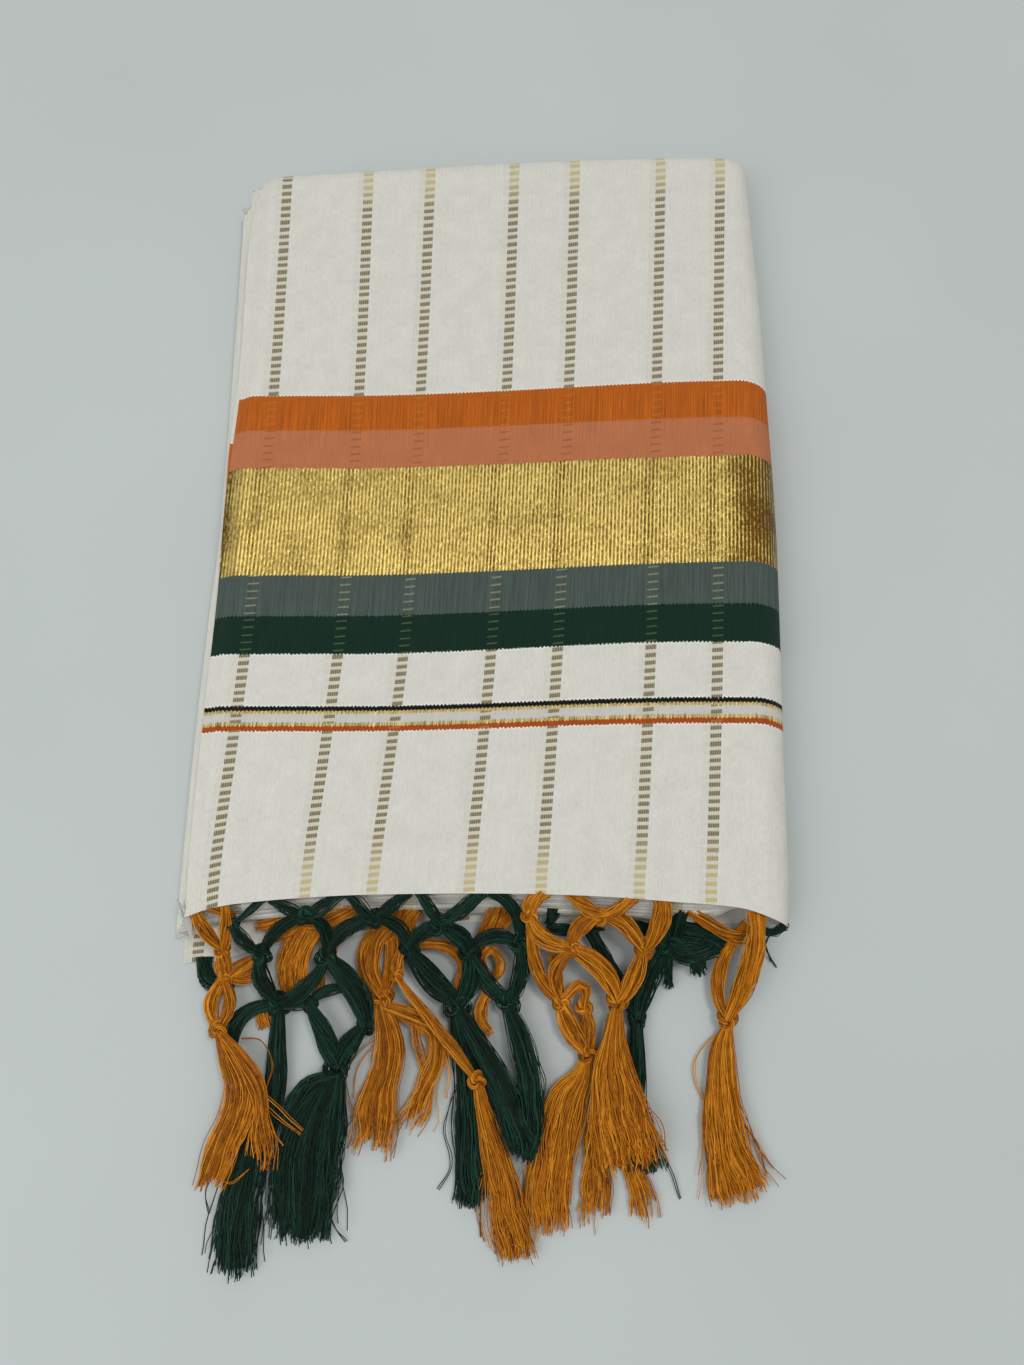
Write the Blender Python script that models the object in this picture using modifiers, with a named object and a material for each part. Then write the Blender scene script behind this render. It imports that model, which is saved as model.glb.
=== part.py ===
"""Kasavu saree folded flat, with the knotted fringe of its pallu: a Blender model in metres.

The frame: +Y runs along the packet away from the viewer, +X to the right and +Z up. The origin is
the centre of the packet's flat underside. Sizes below are in millimetres and MM turns them to metres.
"""
import math
from collections import namedtuple

import bmesh
import bpy
from mathutils import Vector

MM = 0.001
WELD_DISTANCE = 0.01 * MM

# The packet: 15 panels of a saree 1.16 m wide, folded to a quarter of its width
THICKNESS = 28.0
PLY_WALL = 1.0
GAP = 0.3
BUNDLES = 7
BUNDLE_GROOVE = 1.3
BUNDLE_STATIONS = (0.0, 0.22, 0.78)
SIDE_ROLL = 16.0
FAR_ROLL = 10.0
FAR_BULGE = 6.5
HEM_SAG = 1.5
SELVEDGE_SAG = 2.6
SAG_REACH = 9.0
WRAP_END = math.radians(163.0)
FOOT_SHARE = 0.19
STACK_TOP_INSET = 0.5
STACK_CROWN_SHARE = 0.14
SECOND_PLY_LEFT = 2.0
SECOND_PLY_NEAR = 0.8
ROLL_CLEARANCE = 0.7
FAR_CORNER = 3.0
CORNER_FADE = 30.0
CORNER_FADE_START = 118.0

# How finely the cloth walls are divided
TOP_WIDTH = 275.0
TOP_LENGTH = 414.0
TOP_MIDDLE = 15.0
EDGE_STOPS = (0.0, 3.0, 6.0, 9.0)
EVEN_COLUMNS = 6
EVEN_ROWS = 9
NEAR_COLUMNS = 12
ROLL_STEPS = 8
CORNER_STEPS = 3
LEFT_ROWS = 7

# The fringe's threads are gathered in arms, knots and tassels
ARM_RESOLUTION = 1
LOCK_RESOLUTION = 0
ARM_STEPS = 3
KNOT_SEGMENTS = 8
KNOT_RINGS = 6
KNOT_FLATNESS = 0.85
ROOT_OUT = 1.3
ROOT_HEIGHT = 24.6
ROOT_RADIUS = 0.8
LOCK_FILL = 0.42
LOCK_ROW_PITCH = 3.2
LOCK_WIDEST = 1.44
LOCK_ROW_SHIFT = 0.25
ROOT_SPREAD = 0.55
ROOT_LIFT = 0.35
NECK_LIFT = 0.8

# Sides of the packet: how far across (x) a side lies at a place along (y)
SidePoint = namedtuple("SidePoint", "along across")
LEFT_EDGE = (
    SidePoint(-214, -147.5), SidePoint(-116, -145.5), SidePoint(-42, -143.2), SidePoint(14, -142.8),
    SidePoint(67, -139.8), SidePoint(102, -138.8), SidePoint(178, -138.8), SidePoint(205, -135.0),
)
LOWER_LEFT_SIDE = (
    SidePoint(-214, -155.0), SidePoint(-132, -153.6), SidePoint(-34, -150.0), SidePoint(42, -148.5),
    SidePoint(112, -149.2), SidePoint(187, -149.8), SidePoint(212, -147.0),
)
RIGHT_SIDE = (
    SidePoint(-218, 142.8), SidePoint(-188, 144.8), SidePoint(-121, 147.0), SidePoint(-51, 149.7),
    SidePoint(0, 151.1), SidePoint(67, 150.8), SidePoint(120, 150.6), SidePoint(220, 148.0),
)

# Ends of the packet: how far along (y) an end lies at a place across (x)
EndPoint = namedtuple("EndPoint", "across along")
FAR_END = (
    EndPoint(-150, 198.5), EndPoint(-120, 201.3), EndPoint(-73, 204.7), EndPoint(11, 210.3),
    EndPoint(96, 213.7), EndPoint(150, 213.7),
)
HEM_LINE = (
    EndPoint(-155, -216.0), EndPoint(-122, -211.7), EndPoint(-90, -208.9), EndPoint(-27, -204.2),
    EndPoint(20, -203.2), EndPoint(61, -204.2), EndPoint(108, -208.0), EndPoint(127, -212.6),
    EndPoint(150, -222.0),
)

# How far the stack's near face stands in (+) or out (-) of the hem, by its share of the height
ProfilePoint = namedtuple("ProfilePoint", "share inset")
NEAR_PROFILE = (
    ProfilePoint(0.0, -4.0), ProfilePoint(0.12, -7.5), ProfilePoint(0.4, -7.5), ProfilePoint(0.55, -5.5),
    ProfilePoint(0.7, -2.8), ProfilePoint(0.85, -0.2), ProfilePoint(1.0, 1.5),
)
# How far the left side stands in from the lower side, by share: loops below, selvedges above
LEFT_PROFILE = (
    ProfilePoint(0.0, 4.0), ProfilePoint(0.1, 1.0), ProfilePoint(0.3, 0.0), ProfilePoint(0.5, 1.6),
)

# The near edge of the ply at the underside, which reaches past the stack at the bottom left
LOWER_PLY_EDGE = (
    EndPoint(-152, -238.0), EndPoint(-133, -236.5), EndPoint(-112, -230.0), EndPoint(-62, -224.0),
)
LOWER_PLY_WALL = 1.4
LOWER_PLY_HEIGHT = 0.4
LOWER_PLY_STEPS = 6
LOWER_PLY_ROOT = -6.9

# Knots of the net: a name, the place of the middle and the half width
Knot = namedtuple("Knot", "name x y z half_width")
GREEN_KNOTS = (
    Knot("hem_1", -90, -216, 20, 3.4), Knot("hem_2", -57, -217, 20, 3.6), Knot("hem_3", -25, -220, 19, 4.0),
    Knot("mid_1", -112, -234, 14, 3.6), Knot("mid_2", -80, -235, 13, 4.0), Knot("mid_3", -40, -232, 13, 3.6),
    Knot("mid_4", -11, -232, 13, 4.0), Knot("mid_5", 13, -229, 14, 4.0),
    Knot("low_1", -103, -257, 7, 4.2), Knot("low_2", -17, -257, 7, 5.0), Knot("low_3", 8, -256, 7, 4.4),
    Knot("low_4", -71, -278, 7, 5.0),
)
ORANGE_KNOTS = (
    Knot("hem_4", 18, -216, 22, 3.0), Knot("hem_5", 52, -216, 21, 3.4), Knot("mid_6", 73, -232, 16, 3.4),
    Knot("low_5", 60, -256, 10, 4.0), Knot("low_6", 33, -256, 9, 3.2), Knot("low_7", 44, -258, 9, 3.2),
    Knot("low_8", 46, -280, 6, 3.6), Knot("cross", 38, -231, 17, 3.2),
)
LEFT_KNOTS = (
    Knot("side_1", -131, -232, 10, 3.0), Knot("side_2", -130, -245, 8, 2.8),
    Knot("side_3", -131, -268, 9, 3.6),
)
LOOP_KNOTS = (Knot("loop_1", -53, -254, 6, 4.0),)
STRAND_KNOTS = (Knot("strand_1", -7, -291, 12, 3.2),)
UNDER_KNOTS = (Knot("under_1", 60, -258, 4.5, 2.6),)
RIGHT_KNOTS = (Knot("right_1", 113, -264, 7, 3.6),)
TUFT_KNOTS = (Knot("tuft_1", 70, -264, 3.9, 3.2), Knot("tuft_2", 86, -229, 11, 5.0))
ALL_KNOTS = (
    GREEN_KNOTS, ORANGE_KNOTS, LEFT_KNOTS, LOOP_KNOTS, STRAND_KNOTS, UNDER_KNOTS, RIGHT_KNOTS, TUFT_KNOTS,
)

# Arms of the net: where each starts and ends, how its middle bows, and its half width.
# A start or end is a knot's name, a place across the hem, or a place (x, y, z).
Arm = namedtuple("Arm", "start end bow half_width")
GREEN_ARMS = (
    Arm(-106, "hem_1", (0, -1, 1), 2.0), Arm(-72, "hem_1", (0, -1, 1), 2.0),
    Arm(-69, "hem_2", (0, -1, 1), 2.2), Arm(-40, "hem_2", (0, -1, 1), 2.0),
    Arm(-35, "hem_3", (0, -1, 1), 2.2), Arm(-4, "hem_3", (0, -1, 1), 2.4),
    Arm(-1, "mid_5", (5, 2, 1), 2.2),
    Arm("hem_1", "mid_1", (-3, 3, 1), 2.4), Arm("hem_1", "mid_2", (4, 3, 1), 2.4),
    Arm("hem_2", "mid_2", (-4, 2, 1), 2.6), Arm("hem_2", "mid_3", (3, 3, 1), 2.4),
    Arm("hem_3", "mid_3", (-2, 1, 1), 2.4), Arm("hem_3", "mid_4", (2, 1, 1), 2.8),
    Arm("mid_4", "mid_5", (0, 5, 1), 2.2),
    Arm("mid_1", "low_1", (-4, -1, 0), 2.8), Arm("mid_2", "low_1", (2, -4, 0), 2.8),
    Arm("mid_2", "low_4", (6, 2, 0), 4.0), Arm("mid_3", "low_2", (-2, -1, 0), 3.0),
    Arm("mid_4", "low_2", (3, -1, 0), 4.0), Arm("mid_5", "low_3", (3, -2, 0), 2.8),
    Arm("mid_4", "low_3", (-1, -2, 0), 2.6), Arm("low_1", "low_4", (4, -1, -1), 2.6),
    Arm("low_1", (-122, -268, 3.6), (-5, 4, 0), 2.2),
)
ORANGE_ARMS = (
    Arm(26, "hem_4", (-3, 0, 1), 2.4), Arm(36, "hem_5", (1, -2, 1), 2.2),
    Arm(68, "hem_5", (-1, -2, 1), 2.2), Arm(81, "mid_6", (3, 1, 1), 2.8),
    Arm("hem_5", "cross", (-2, 3, 1), 2.4), Arm("hem_5", "mid_6", (1, 4, 1), 2.4),
    Arm("hem_4", "cross", (-3, -3, 0), 2.6), Arm("cross", "low_5", (5, 3, 1), 3.0),
    Arm("mid_6", "low_5", (1, -2, 0), 3.0), Arm("hem_4", "low_6", (-4, -5, -2), 2.4),
    Arm("cross", "low_6", (-6, 0, 0), 2.2), Arm("low_6", "low_7", (5, 9, 3), 2.2),
    Arm("low_6", "low_8", (-1, -1, 0), 3.0), Arm("low_7", "low_8", (1, 0, 0), 2.6),
)
LEFT_ARMS = (
    Arm(-143, "side_1", (0, 0, 1), 2.2), Arm(-128, "side_1", (1, -3, 0), 1.8),
    Arm("side_1", "side_2", (0, 0, 0), 2.6), Arm("side_2", "side_3", (-6, 0, 0), 2.2),
    Arm("side_2", "side_3", (4, 0, 0), 2.0),
)
LOOP_ARMS = (
    Arm((-44, -214, 9), "loop_1", (-14, 1, -2), 3.2), Arm((-52, -214, 9), "loop_1", (4, 2, -2), 2.4),
)
STRAND_ARMS = (Arm((-43, -236.8, 14), "strand_1", (6, -6, 4), 2.6),)
RIGHT_ARMS = (
    Arm((126, -213.0, 24.6), "right_1", (5, -5, 2), 4.0),
    Arm((118, -217.6, 11), "right_1", (-5, -4, 1), 2.6),
)
TUFT_ARMS = (
    Arm((93, -212.3, 14.5), "tuft_2", (0, 0, 0), 3.0),
    Arm("tuft_2", "tuft_1", (-3, -5, -1), 3.0), Arm("tuft_2", (107, -230, 10), (0, -4, 1), 3.4),
    Arm("tuft_2", (101, -242, 5), (2, 3, 1), 3.0), Arm("tuft_2", (86, -247, 4), (0, 0, 0), 2.4),
)

# Tassels: the knot that the head hangs from, the head's half width, then a place half way and the
# tip as (x, y, z) with the half spread at each, the columns of locks and the rows of them
Tassel = namedtuple("Tassel", "name colour knot head_width middle middle_width tip tip_width columns rows")
TASSELS = (
    Tassel("tassel_green_far_left", "green", "low_1", 4.0, (-110, -320, 4.2), 7.5,
           (-121, -370, 4.2), 10.0, 5, 2),
    Tassel("tassel_green_left", "green", "low_4", 4.6, (-83, -322, 4.8), 14.0, (-87, -358, 4.2), 15.0, 7, 2),
    Tassel("tassel_green_middle", "green", "low_2", 4.4, (-18, -305, 4.2), 7.5, (-16, -343, 4.2), 8.5, 5, 2),
    Tassel("tassel_green_wide", "green", "low_3", 4.4, (12, -292, 5.6), 11.0, (16, -321, 10.0), 7.0, 5, 2),
    Tassel("tassel_green_right", "green", "tuft_1", 3.0, (74, -300, 3.9), 4.5, (72, -332, 3.9), 9.5, 5, 1),
    Tassel("tassel_orange_far_left", "orange", "side_3", 3.8, (-122, -306, 11.6), 12.5,
           (-124, -332, 11.6), 13.0, 7, 2),
    Tassel("tassel_orange_loose", "orange", "loop_1", 4.6, (-46, -287, 4.8), 16.0,
           (-49, -315, 4.2), 15.0, 8, 2),
    Tassel("tassel_orange_knotted", "orange", "strand_1", 3.0, (3, -328, 6.0), 7.0,
           (11, -362, 4.2), 10.0, 5, 2),
    Tassel("tassel_orange_fan", "orange", "low_5", 3.8, (58, -298, 12.0), 12.5, (64, -327, 12.0), 11.5, 6, 2),
    Tassel("tassel_orange_side", "orange", "low_8", 3.6, (32, -318, 4.2), 8.5, (26, -350, 4.2), 10.5, 6, 2),
    Tassel("tassel_orange_under", "orange", "under_1", 2.4, (54, -312, 2.8), 5.5, (50, -348, 2.6), 8.0, 5, 1),
    Tassel("tassel_orange_right", "orange", "right_1", 3.6, (112, -306, 4.2), 8.5,
           (113, -339, 4.2), 12.0, 7, 2),
)

# Strands that lie by themselves: places as (x, y, z, half width)
UNDER_LEFT_STRAND = (
    (-106, -218.6, 8.0, 0.8), (-104, -222, 7.0, 2.8), (-98, -227, 6.4, 4.0), (-94, -235, 5.2, 4.2),
    (-95, -242, 4.4, 3.0),
)
UNDER_MIDDLE_STRAND = (
    (-70, -215.8, 9.0, 0.8), (-70, -220, 8.0, 2.8), (-72, -224, 6.4, 3.8), (-74, -231, 4.8, 3.2),
)
CORNER_STUB = (
    (131, -222.5, 15, 1.6), (135, -223.5, 15, 2.3), (141, -220.7, 16, 1.8),
)

COTTON = {"colour": (0.60, 0.57, 0.51), "roughness": 0.85}
SHADED_COTTON = {"colour": (0.52, 0.50, 0.46), "roughness": 0.85}
ORANGE_THREAD = {"colour": (0.58, 0.21, 0.02), "roughness": 0.70}
GREEN_THREAD = {"colour": (0.010, 0.050, 0.033), "roughness": 0.70}


def clear_scene():
    """Removes the objects of the open scene."""
    for item in list(bpy.data.objects):
        bpy.data.objects.remove(item, do_unlink=True)


def make_collection(name):
    """Returns a new collection under the scene's own."""
    group = bpy.data.collections.new(name)
    bpy.context.scene.collection.children.link(group)
    return group


def make_material(name, finish):
    """Returns a Principled material with a plain colour."""
    material = bpy.data.materials.new(name)
    material.use_nodes = True
    shader = material.node_tree.nodes["Principled BSDF"]
    shader.inputs["Base Color"].default_value = (*finish["colour"], 1.0)
    shader.inputs["Roughness"].default_value = finish["roughness"]
    shader.inputs["Metallic"].default_value = 0.0
    material.diffuse_color = (*finish["colour"], 1.0)
    return material


def new_object(name, mesh, group, material=None):
    """Links an object for a mesh to a collection."""
    item = bpy.data.objects.new(name, mesh)
    group.objects.link(item)
    if material is not None:
        mesh.materials.clear()
        mesh.materials.append(material)
    return item


def soft_step(value):
    """Eases 0 to 1 with flat ends."""
    value = min(max(value, 0.0), 1.0)
    return value * value * (3.0 - 2.0 * value)


def read_curve(rows, place):
    """Reads a table of (place, value) rows at a place, with a smooth cubic between the rows."""
    if place <= rows[0][0]:
        return rows[0][1]
    if place >= rows[-1][0]:
        return rows[-1][1]
    index = max(i for i, row in enumerate(rows) if row[0] <= place)

    def slope(i):
        low, high = rows[max(i - 1, 0)], rows[min(i + 1, len(rows) - 1)]
        return (high[1] - low[1]) / (high[0] - low[0])

    start, first = rows[index]
    end, last = rows[index + 1]
    span = end - start
    t = (place - start) / span
    value = (2 * t**3 - 3 * t**2 + 1) * first + (3 * t**2 - 2 * t**3) * last
    return value + span * ((t**3 - 2 * t**2 + t) * slope(index) + (t**3 - t**2) * slope(index + 1))


def top_height(x, y):
    """The height of the outer ply's upper face, which sags at the left selvedge and at the hem."""
    from_left = (x - read_curve(LEFT_EDGE, y)) / SAG_REACH
    from_hem = (y - read_curve(HEM_LINE, x)) / SAG_REACH
    return THICKNESS - SELVEDGE_SAG * (1 - soft_step(from_left)) - HEM_SAG * (1 - soft_step(from_hem))


def top_stops(length, even_count):
    """Shares of the top's length or width: close together where its edge sags, then even."""
    last = EDGE_STOPS[-1] / length
    even = [last + (1.0 - last) * (step + 1) / even_count for step in range(even_count)]
    return [stop / length for stop in EDGE_STOPS] + even


def top_point(u, v):
    """A place on the flat of the top, from the share u across it and the share v along it."""
    hem_middle, far_middle = read_curve(HEM_LINE, TOP_MIDDLE), read_curve(FAR_END, TOP_MIDDLE)
    along = hem_middle + (far_middle - hem_middle) * v
    left = read_curve(LEFT_EDGE, along)
    right = read_curve(RIGHT_SIDE, along) - SIDE_ROLL
    x = left + (right - left) * u
    near = read_curve(HEM_LINE, x)
    far = read_curve(FAR_END, x) + FAR_BULGE - FAR_ROLL
    y = near + (far - near) * v
    return Vector((x, y, top_height(x, y)))


def roll_starts():
    """The line where the top turns down: up the right side, round the corner and back along the far end.

    Each row is the place and the way it faces, 0 for right and a quarter turn for far.
    """
    right = [(top_point(1.0, v), 0.0) for v in top_stops(TOP_LENGTH, EVEN_ROWS)]
    corner = [(right[-1][0], math.pi / 2 * (step + 1) / CORNER_STEPS) for step in range(CORNER_STEPS)]
    far = [(top_point(u, 1.0), math.pi / 2) for u in reversed(top_stops(TOP_WIDTH, EVEN_COLUMNS)[:-1])]
    return right + corner + far


def rolled_point(start, facing, height, inset):
    """A place on the rolled side at a height, the inset inside its outer face."""
    middle = start.z / 2.0
    lift = min(max((height - middle) / (middle - inset), -1.0), 1.0)
    out = max(math.sqrt(1.0 - lift * lift), FOOT_SHARE if inset > 0 else 0.0)
    reach = Vector((math.cos(facing) * (SIDE_ROLL - inset), math.sin(facing) * (FAR_ROLL - inset)))
    return Vector((start.x + reach.x * out, start.y + reach.y * out, height))


def finish_mesh(shape, name):
    """Scales a bmesh from millimetres to metres and returns it as a mesh."""
    bmesh.ops.scale(shape, vec=(MM, MM, MM), verts=shape.verts)
    mesh = bpy.data.meshes.new(name)
    shape.to_mesh(mesh)
    shape.free()
    return mesh


def add_grid(shape, places):
    """Adds rows of places as a grid of faces that look up, and returns its vertices."""
    grid = [[shape.verts.new(place) for place in line] for line in places]
    for row in range(len(grid) - 1):
        for column in range(len(grid[row]) - 1):
            shape.faces.new((
                grid[row][column], grid[row][column + 1], grid[row + 1][column + 1], grid[row + 1][column],
            ))
    return grid


def add_wall(item, wall):
    """Gives an open sheet its wall, inward from the face that is seen."""
    modifier = item.modifiers.new("wall", "SOLIDIFY")
    modifier.thickness = wall * MM
    modifier.offset = -1.0
    modifier.use_even_offset = True


def build_outer_ply(group, material):
    """The pallu's outer ply: the top, rolled down over the right side and the far end."""
    shape = bmesh.new()
    columns = top_stops(TOP_WIDTH, EVEN_COLUMNS)
    rows = top_stops(TOP_LENGTH, EVEN_ROWS)
    grid = add_grid(shape, [[top_point(u, v) for u in columns] for v in rows])
    starts = roll_starts()
    previous = [line[-1] for line in grid] + [grid[-1][-1]] * CORNER_STEPS + grid[-1][-2::-1]
    for step in range(1, ROLL_STEPS + 1):
        angle = WRAP_END * step / ROLL_STEPS
        ring = [
            shape.verts.new(rolled_point(start, facing, start.z / 2.0 * (1.0 + math.cos(angle)), 0.0))
            for start, facing in starts
        ]
        for i in range(len(ring) - 1):
            corners = (previous[i], ring[i], ring[i + 1], previous[i + 1])
            shape.faces.new(tuple(dict.fromkeys(corners)))
        previous = ring
    item = new_object("pallu_outer_ply", finish_mesh(shape, "pallu_outer_ply"), group, material)
    add_wall(item, PLY_WALL)


def build_second_ply(group, material):
    """The pallu's second ply, under the outer one and a little wider at the left."""
    drop = Vector((0.0, 0.0, PLY_WALL + GAP))
    columns = [-SECOND_PLY_LEFT / TOP_WIDTH] + top_stops(TOP_WIDTH, EVEN_COLUMNS)
    rows = [SECOND_PLY_NEAR / TOP_LENGTH] + top_stops(TOP_LENGTH, EVEN_ROWS)[1:]
    shape = bmesh.new()
    add_grid(shape, [[top_point(u, v) - drop for u in columns] for v in rows])
    item = new_object("pallu_second_ply", finish_mesh(shape, "pallu_second_ply"), group, material)
    add_wall(item, PLY_WALL)


def bundle_groove(share):
    """How far the stack's edge dips between two bundles of plies, at a share of the height."""
    within = (share * BUNDLES) % 1.0
    return BUNDLE_GROOVE * (1.0 - math.sqrt(1.0 - (2.0 * within - 1.0) ** 2))


def stack_left(share, along):
    """Where the stack's left side lies: the first fold's loops below, selvedges stepping in above."""
    lower = read_curve(LOWER_LEFT_SIDE, along)
    upper = read_curve(LEFT_EDGE, along) + STACK_TOP_INSET
    if share <= LEFT_PROFILE[-1].share:
        return lower + read_curve(LEFT_PROFILE, share)
    start = lower + LEFT_PROFILE[-1].inset
    climb = (share - LEFT_PROFILE[-1].share) / (1.0 - LEFT_PROFILE[-1].share)
    return start + (upper - start) * climb


def stack_ring(share):
    """The outline of the folded stack at a share of its height, seen from above and run leftward."""
    under_plies = 2.0 * (PLY_WALL + GAP)
    groove = bundle_groove(share)
    starts = roll_starts()

    def height(place):
        return share * (top_height(place.x, place.y) - under_plies)

    inset = PLY_WALL + ROLL_CLEARANCE
    side = [rolled_point(start, facing, height(start), inset) for start, facing in starts]
    near_right = side[0].x
    near_left = stack_left(share, HEM_LINE[0].along) + groove
    near = []
    for column in range(NEAR_COLUMNS + 1):
        x = near_left + (near_right - near_left) * column / NEAR_COLUMNS
        fade = 1.0 - soft_step((x - CORNER_FADE_START) / CORNER_FADE)
        y = read_curve(HEM_LINE, x) + read_curve(NEAR_PROFILE, share) * fade + groove
        near.append(Vector((x, y, height(Vector((x, y))))))
    far_left = side[-1].y - FAR_CORNER
    left = []
    for row in range(LEFT_ROWS, 0, -1):
        y = near[0].y + (far_left - near[0].y) * row / LEFT_ROWS
        x = stack_left(share, y) + groove
        left.append(Vector((x, y, height(Vector((x, y))))))
    return near + side + left


def build_core(group, material):
    """The hidden plies as one rounded solid: flat below, with loops and edges stepped at its sides."""
    shape = bmesh.new()
    shares = [
        (bundle + part) / BUNDLES for bundle in range(BUNDLES) for part in BUNDLE_STATIONS
    ]
    rings = [[shape.verts.new(place) for place in stack_ring(share)] for share in shares + [1.0]]
    for lower, upper in zip(rings, rings[1:]):
        for i in range(len(lower)):
            j = (i + 1) % len(lower)
            shape.faces.new((lower[i], lower[j], upper[j], upper[i]))
    shape.faces.new(list(reversed(rings[0])))
    middle = Vector((0.0, 0.0, THICKNESS - 2.0 * (PLY_WALL + GAP)))
    crown = []
    for vertex in rings[-1]:
        place = vertex.co.lerp(middle, STACK_CROWN_SHARE)
        place.z = middle.z
        crown.append(shape.verts.new(place))
    for i in range(len(crown)):
        j = (i + 1) % len(crown)
        shape.faces.new((rings[-1][i], rings[-1][j], crown[j], crown[i]))
    shape.faces.new(crown)
    new_object("folded_core", finish_mesh(shape, "folded_core"), group, material)


def build_lower_ply(group, material):
    """The ply at the underside where it reaches past the stack: an outline with a wall."""
    first, last = LOWER_PLY_EDGE[0].across, LOWER_PLY_EDGE[-1].across
    places = []
    for step in range(LOWER_PLY_STEPS + 1):
        x = first + (last - first) * step / LOWER_PLY_STEPS
        places.append((x, read_curve(LOWER_PLY_EDGE, x)))
    for step in range(LOWER_PLY_STEPS, -1, -1):
        x = first + (last - first) * step / LOWER_PLY_STEPS
        places.append((x, read_curve(HEM_LINE, x) + LOWER_PLY_ROOT))
    outline = bpy.data.curves.new("lower_ply_outline", "CURVE")
    outline.dimensions = "2D"
    outline.fill_mode = "BOTH"
    outline.extrude = LOWER_PLY_WALL / 2.0 * MM
    spline = outline.splines.new("POLY")
    spline.points.add(len(places) - 1)
    for point, (x, y) in zip(spline.points, places):
        point.co = (x * MM, y * MM, 0.0, 1.0)
    spline.use_cyclic_u = True
    item = bpy.data.objects.new("pallu_lower_ply", outline)
    item.location.z = (LOWER_PLY_HEIGHT + LOWER_PLY_WALL / 2.0) * MM
    outline.materials.append(material)
    group.objects.link(item)


def strand_mesh(places, resolution):
    """A strand as a closed mesh: a curve through (x, y, z, half width) places with filled caps."""
    curve = bpy.data.curves.new("strand", "CURVE")
    curve.dimensions = "3D"
    curve.bevel_depth = MM
    curve.bevel_resolution = resolution
    curve.use_fill_caps = True
    spline = curve.splines.new("POLY")
    spline.points.add(len(places) - 1)
    for point, (x, y, z, half_width) in zip(spline.points, places):
        point.co = (x * MM, y * MM, z * MM, 1.0)
        point.radius = half_width
    holder = bpy.data.objects.new("strand", curve)
    bpy.context.scene.collection.objects.link(holder)
    bpy.context.view_layer.update()
    evaluated = holder.evaluated_get(bpy.context.evaluated_depsgraph_get())
    mesh = bpy.data.meshes.new_from_object(evaluated)
    bpy.data.objects.remove(holder, do_unlink=True)
    shape = bmesh.new()
    shape.from_mesh(mesh)
    bmesh.ops.remove_doubles(shape, verts=shape.verts, dist=WELD_DISTANCE)
    bmesh.ops.recalc_face_normals(shape, faces=shape.faces)
    shape.to_mesh(mesh)
    shape.free()
    return mesh


def knot_mesh(place, half_width):
    """A knot as a ball, a little flat."""
    shape = bmesh.new()
    bmesh.ops.create_uvsphere(shape, u_segments=KNOT_SEGMENTS, v_segments=KNOT_RINGS, radius=half_width)
    bmesh.ops.scale(shape, vec=(1.0, 1.0, KNOT_FLATNESS), verts=shape.verts)
    bmesh.ops.translate(shape, vec=place, verts=shape.verts)
    return finish_mesh(shape, "knot")


Bunch = namedtuple("Bunch", "name meshes material")


def join_solids(bunch, group, joined):
    """Joins closed meshes that run into each other into one closed body."""
    name, meshes, material = bunch
    base = new_object(name, meshes[0], group, material)
    pieces = bpy.data.collections.new(name + "_pieces")
    joined.children.link(pieces)
    for mesh in meshes[1:]:
        piece = new_object(name + "_piece", mesh, pieces)
        piece.hide_render = True
        piece.display_type = "WIRE"
    modifier = base.modifiers.new("join", "BOOLEAN")
    modifier.operation = "UNION"
    modifier.operand_type = "COLLECTION"
    modifier.collection = pieces
    modifier.solver = "EXACT"
    modifier.use_self = True


def hem_root(across):
    """Where an arm leaves the hem, at a place across it."""
    return Vector((across, read_curve(HEM_LINE, across) - ROOT_OUT, ROOT_HEIGHT))


def arm_places(arm, knots):
    """The places along an arm: a quadratic curve from its start to its end, bowed by its middle."""
    ends = []
    for end in (arm.start, arm.end):
        if isinstance(end, str):
            ends.append(Vector(knots[end][1:4]))
        elif isinstance(end, tuple):
            ends.append(Vector(end))
        else:
            ends.append(hem_root(end))
    start, end = ends
    middle = (start + end) / 2.0 + Vector(arm.bow)
    control = 2.0 * middle - (start + end) / 2.0
    places = []
    for step in range(ARM_STEPS + 1):
        t = step / ARM_STEPS
        place = start * (1 - t) ** 2 + control * 2 * t * (1 - t) + end * t**2
        from_cloth = not isinstance(arm.start, str) and step == 0
        half_width = ROOT_RADIUS if from_cloth else arm.half_width
        places.append((*place, half_width))
    return places


def net_bunch(name, knots, arms, material):
    """A net of knots and the arms between them, as meshes to join."""
    by_name = {knot.name: knot for knot in knots}
    meshes = [knot_mesh((knot.x, knot.y, knot.z), knot.half_width) for knot in knots]
    meshes += [strand_mesh(arm_places(arm, by_name), ARM_RESOLUTION) for arm in arms]
    return Bunch(name, meshes, material)


def tassel_head(tassel, knot):
    """The middle of a tassel's head, clear of the knot that it hangs from by the gap."""
    centre = Vector((knot.x, knot.y, knot.z))
    run = Vector(tassel.middle) - centre
    run.z = 0.0
    return centre + run.normalized() * (knot.half_width + tassel.head_width + GAP)


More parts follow.
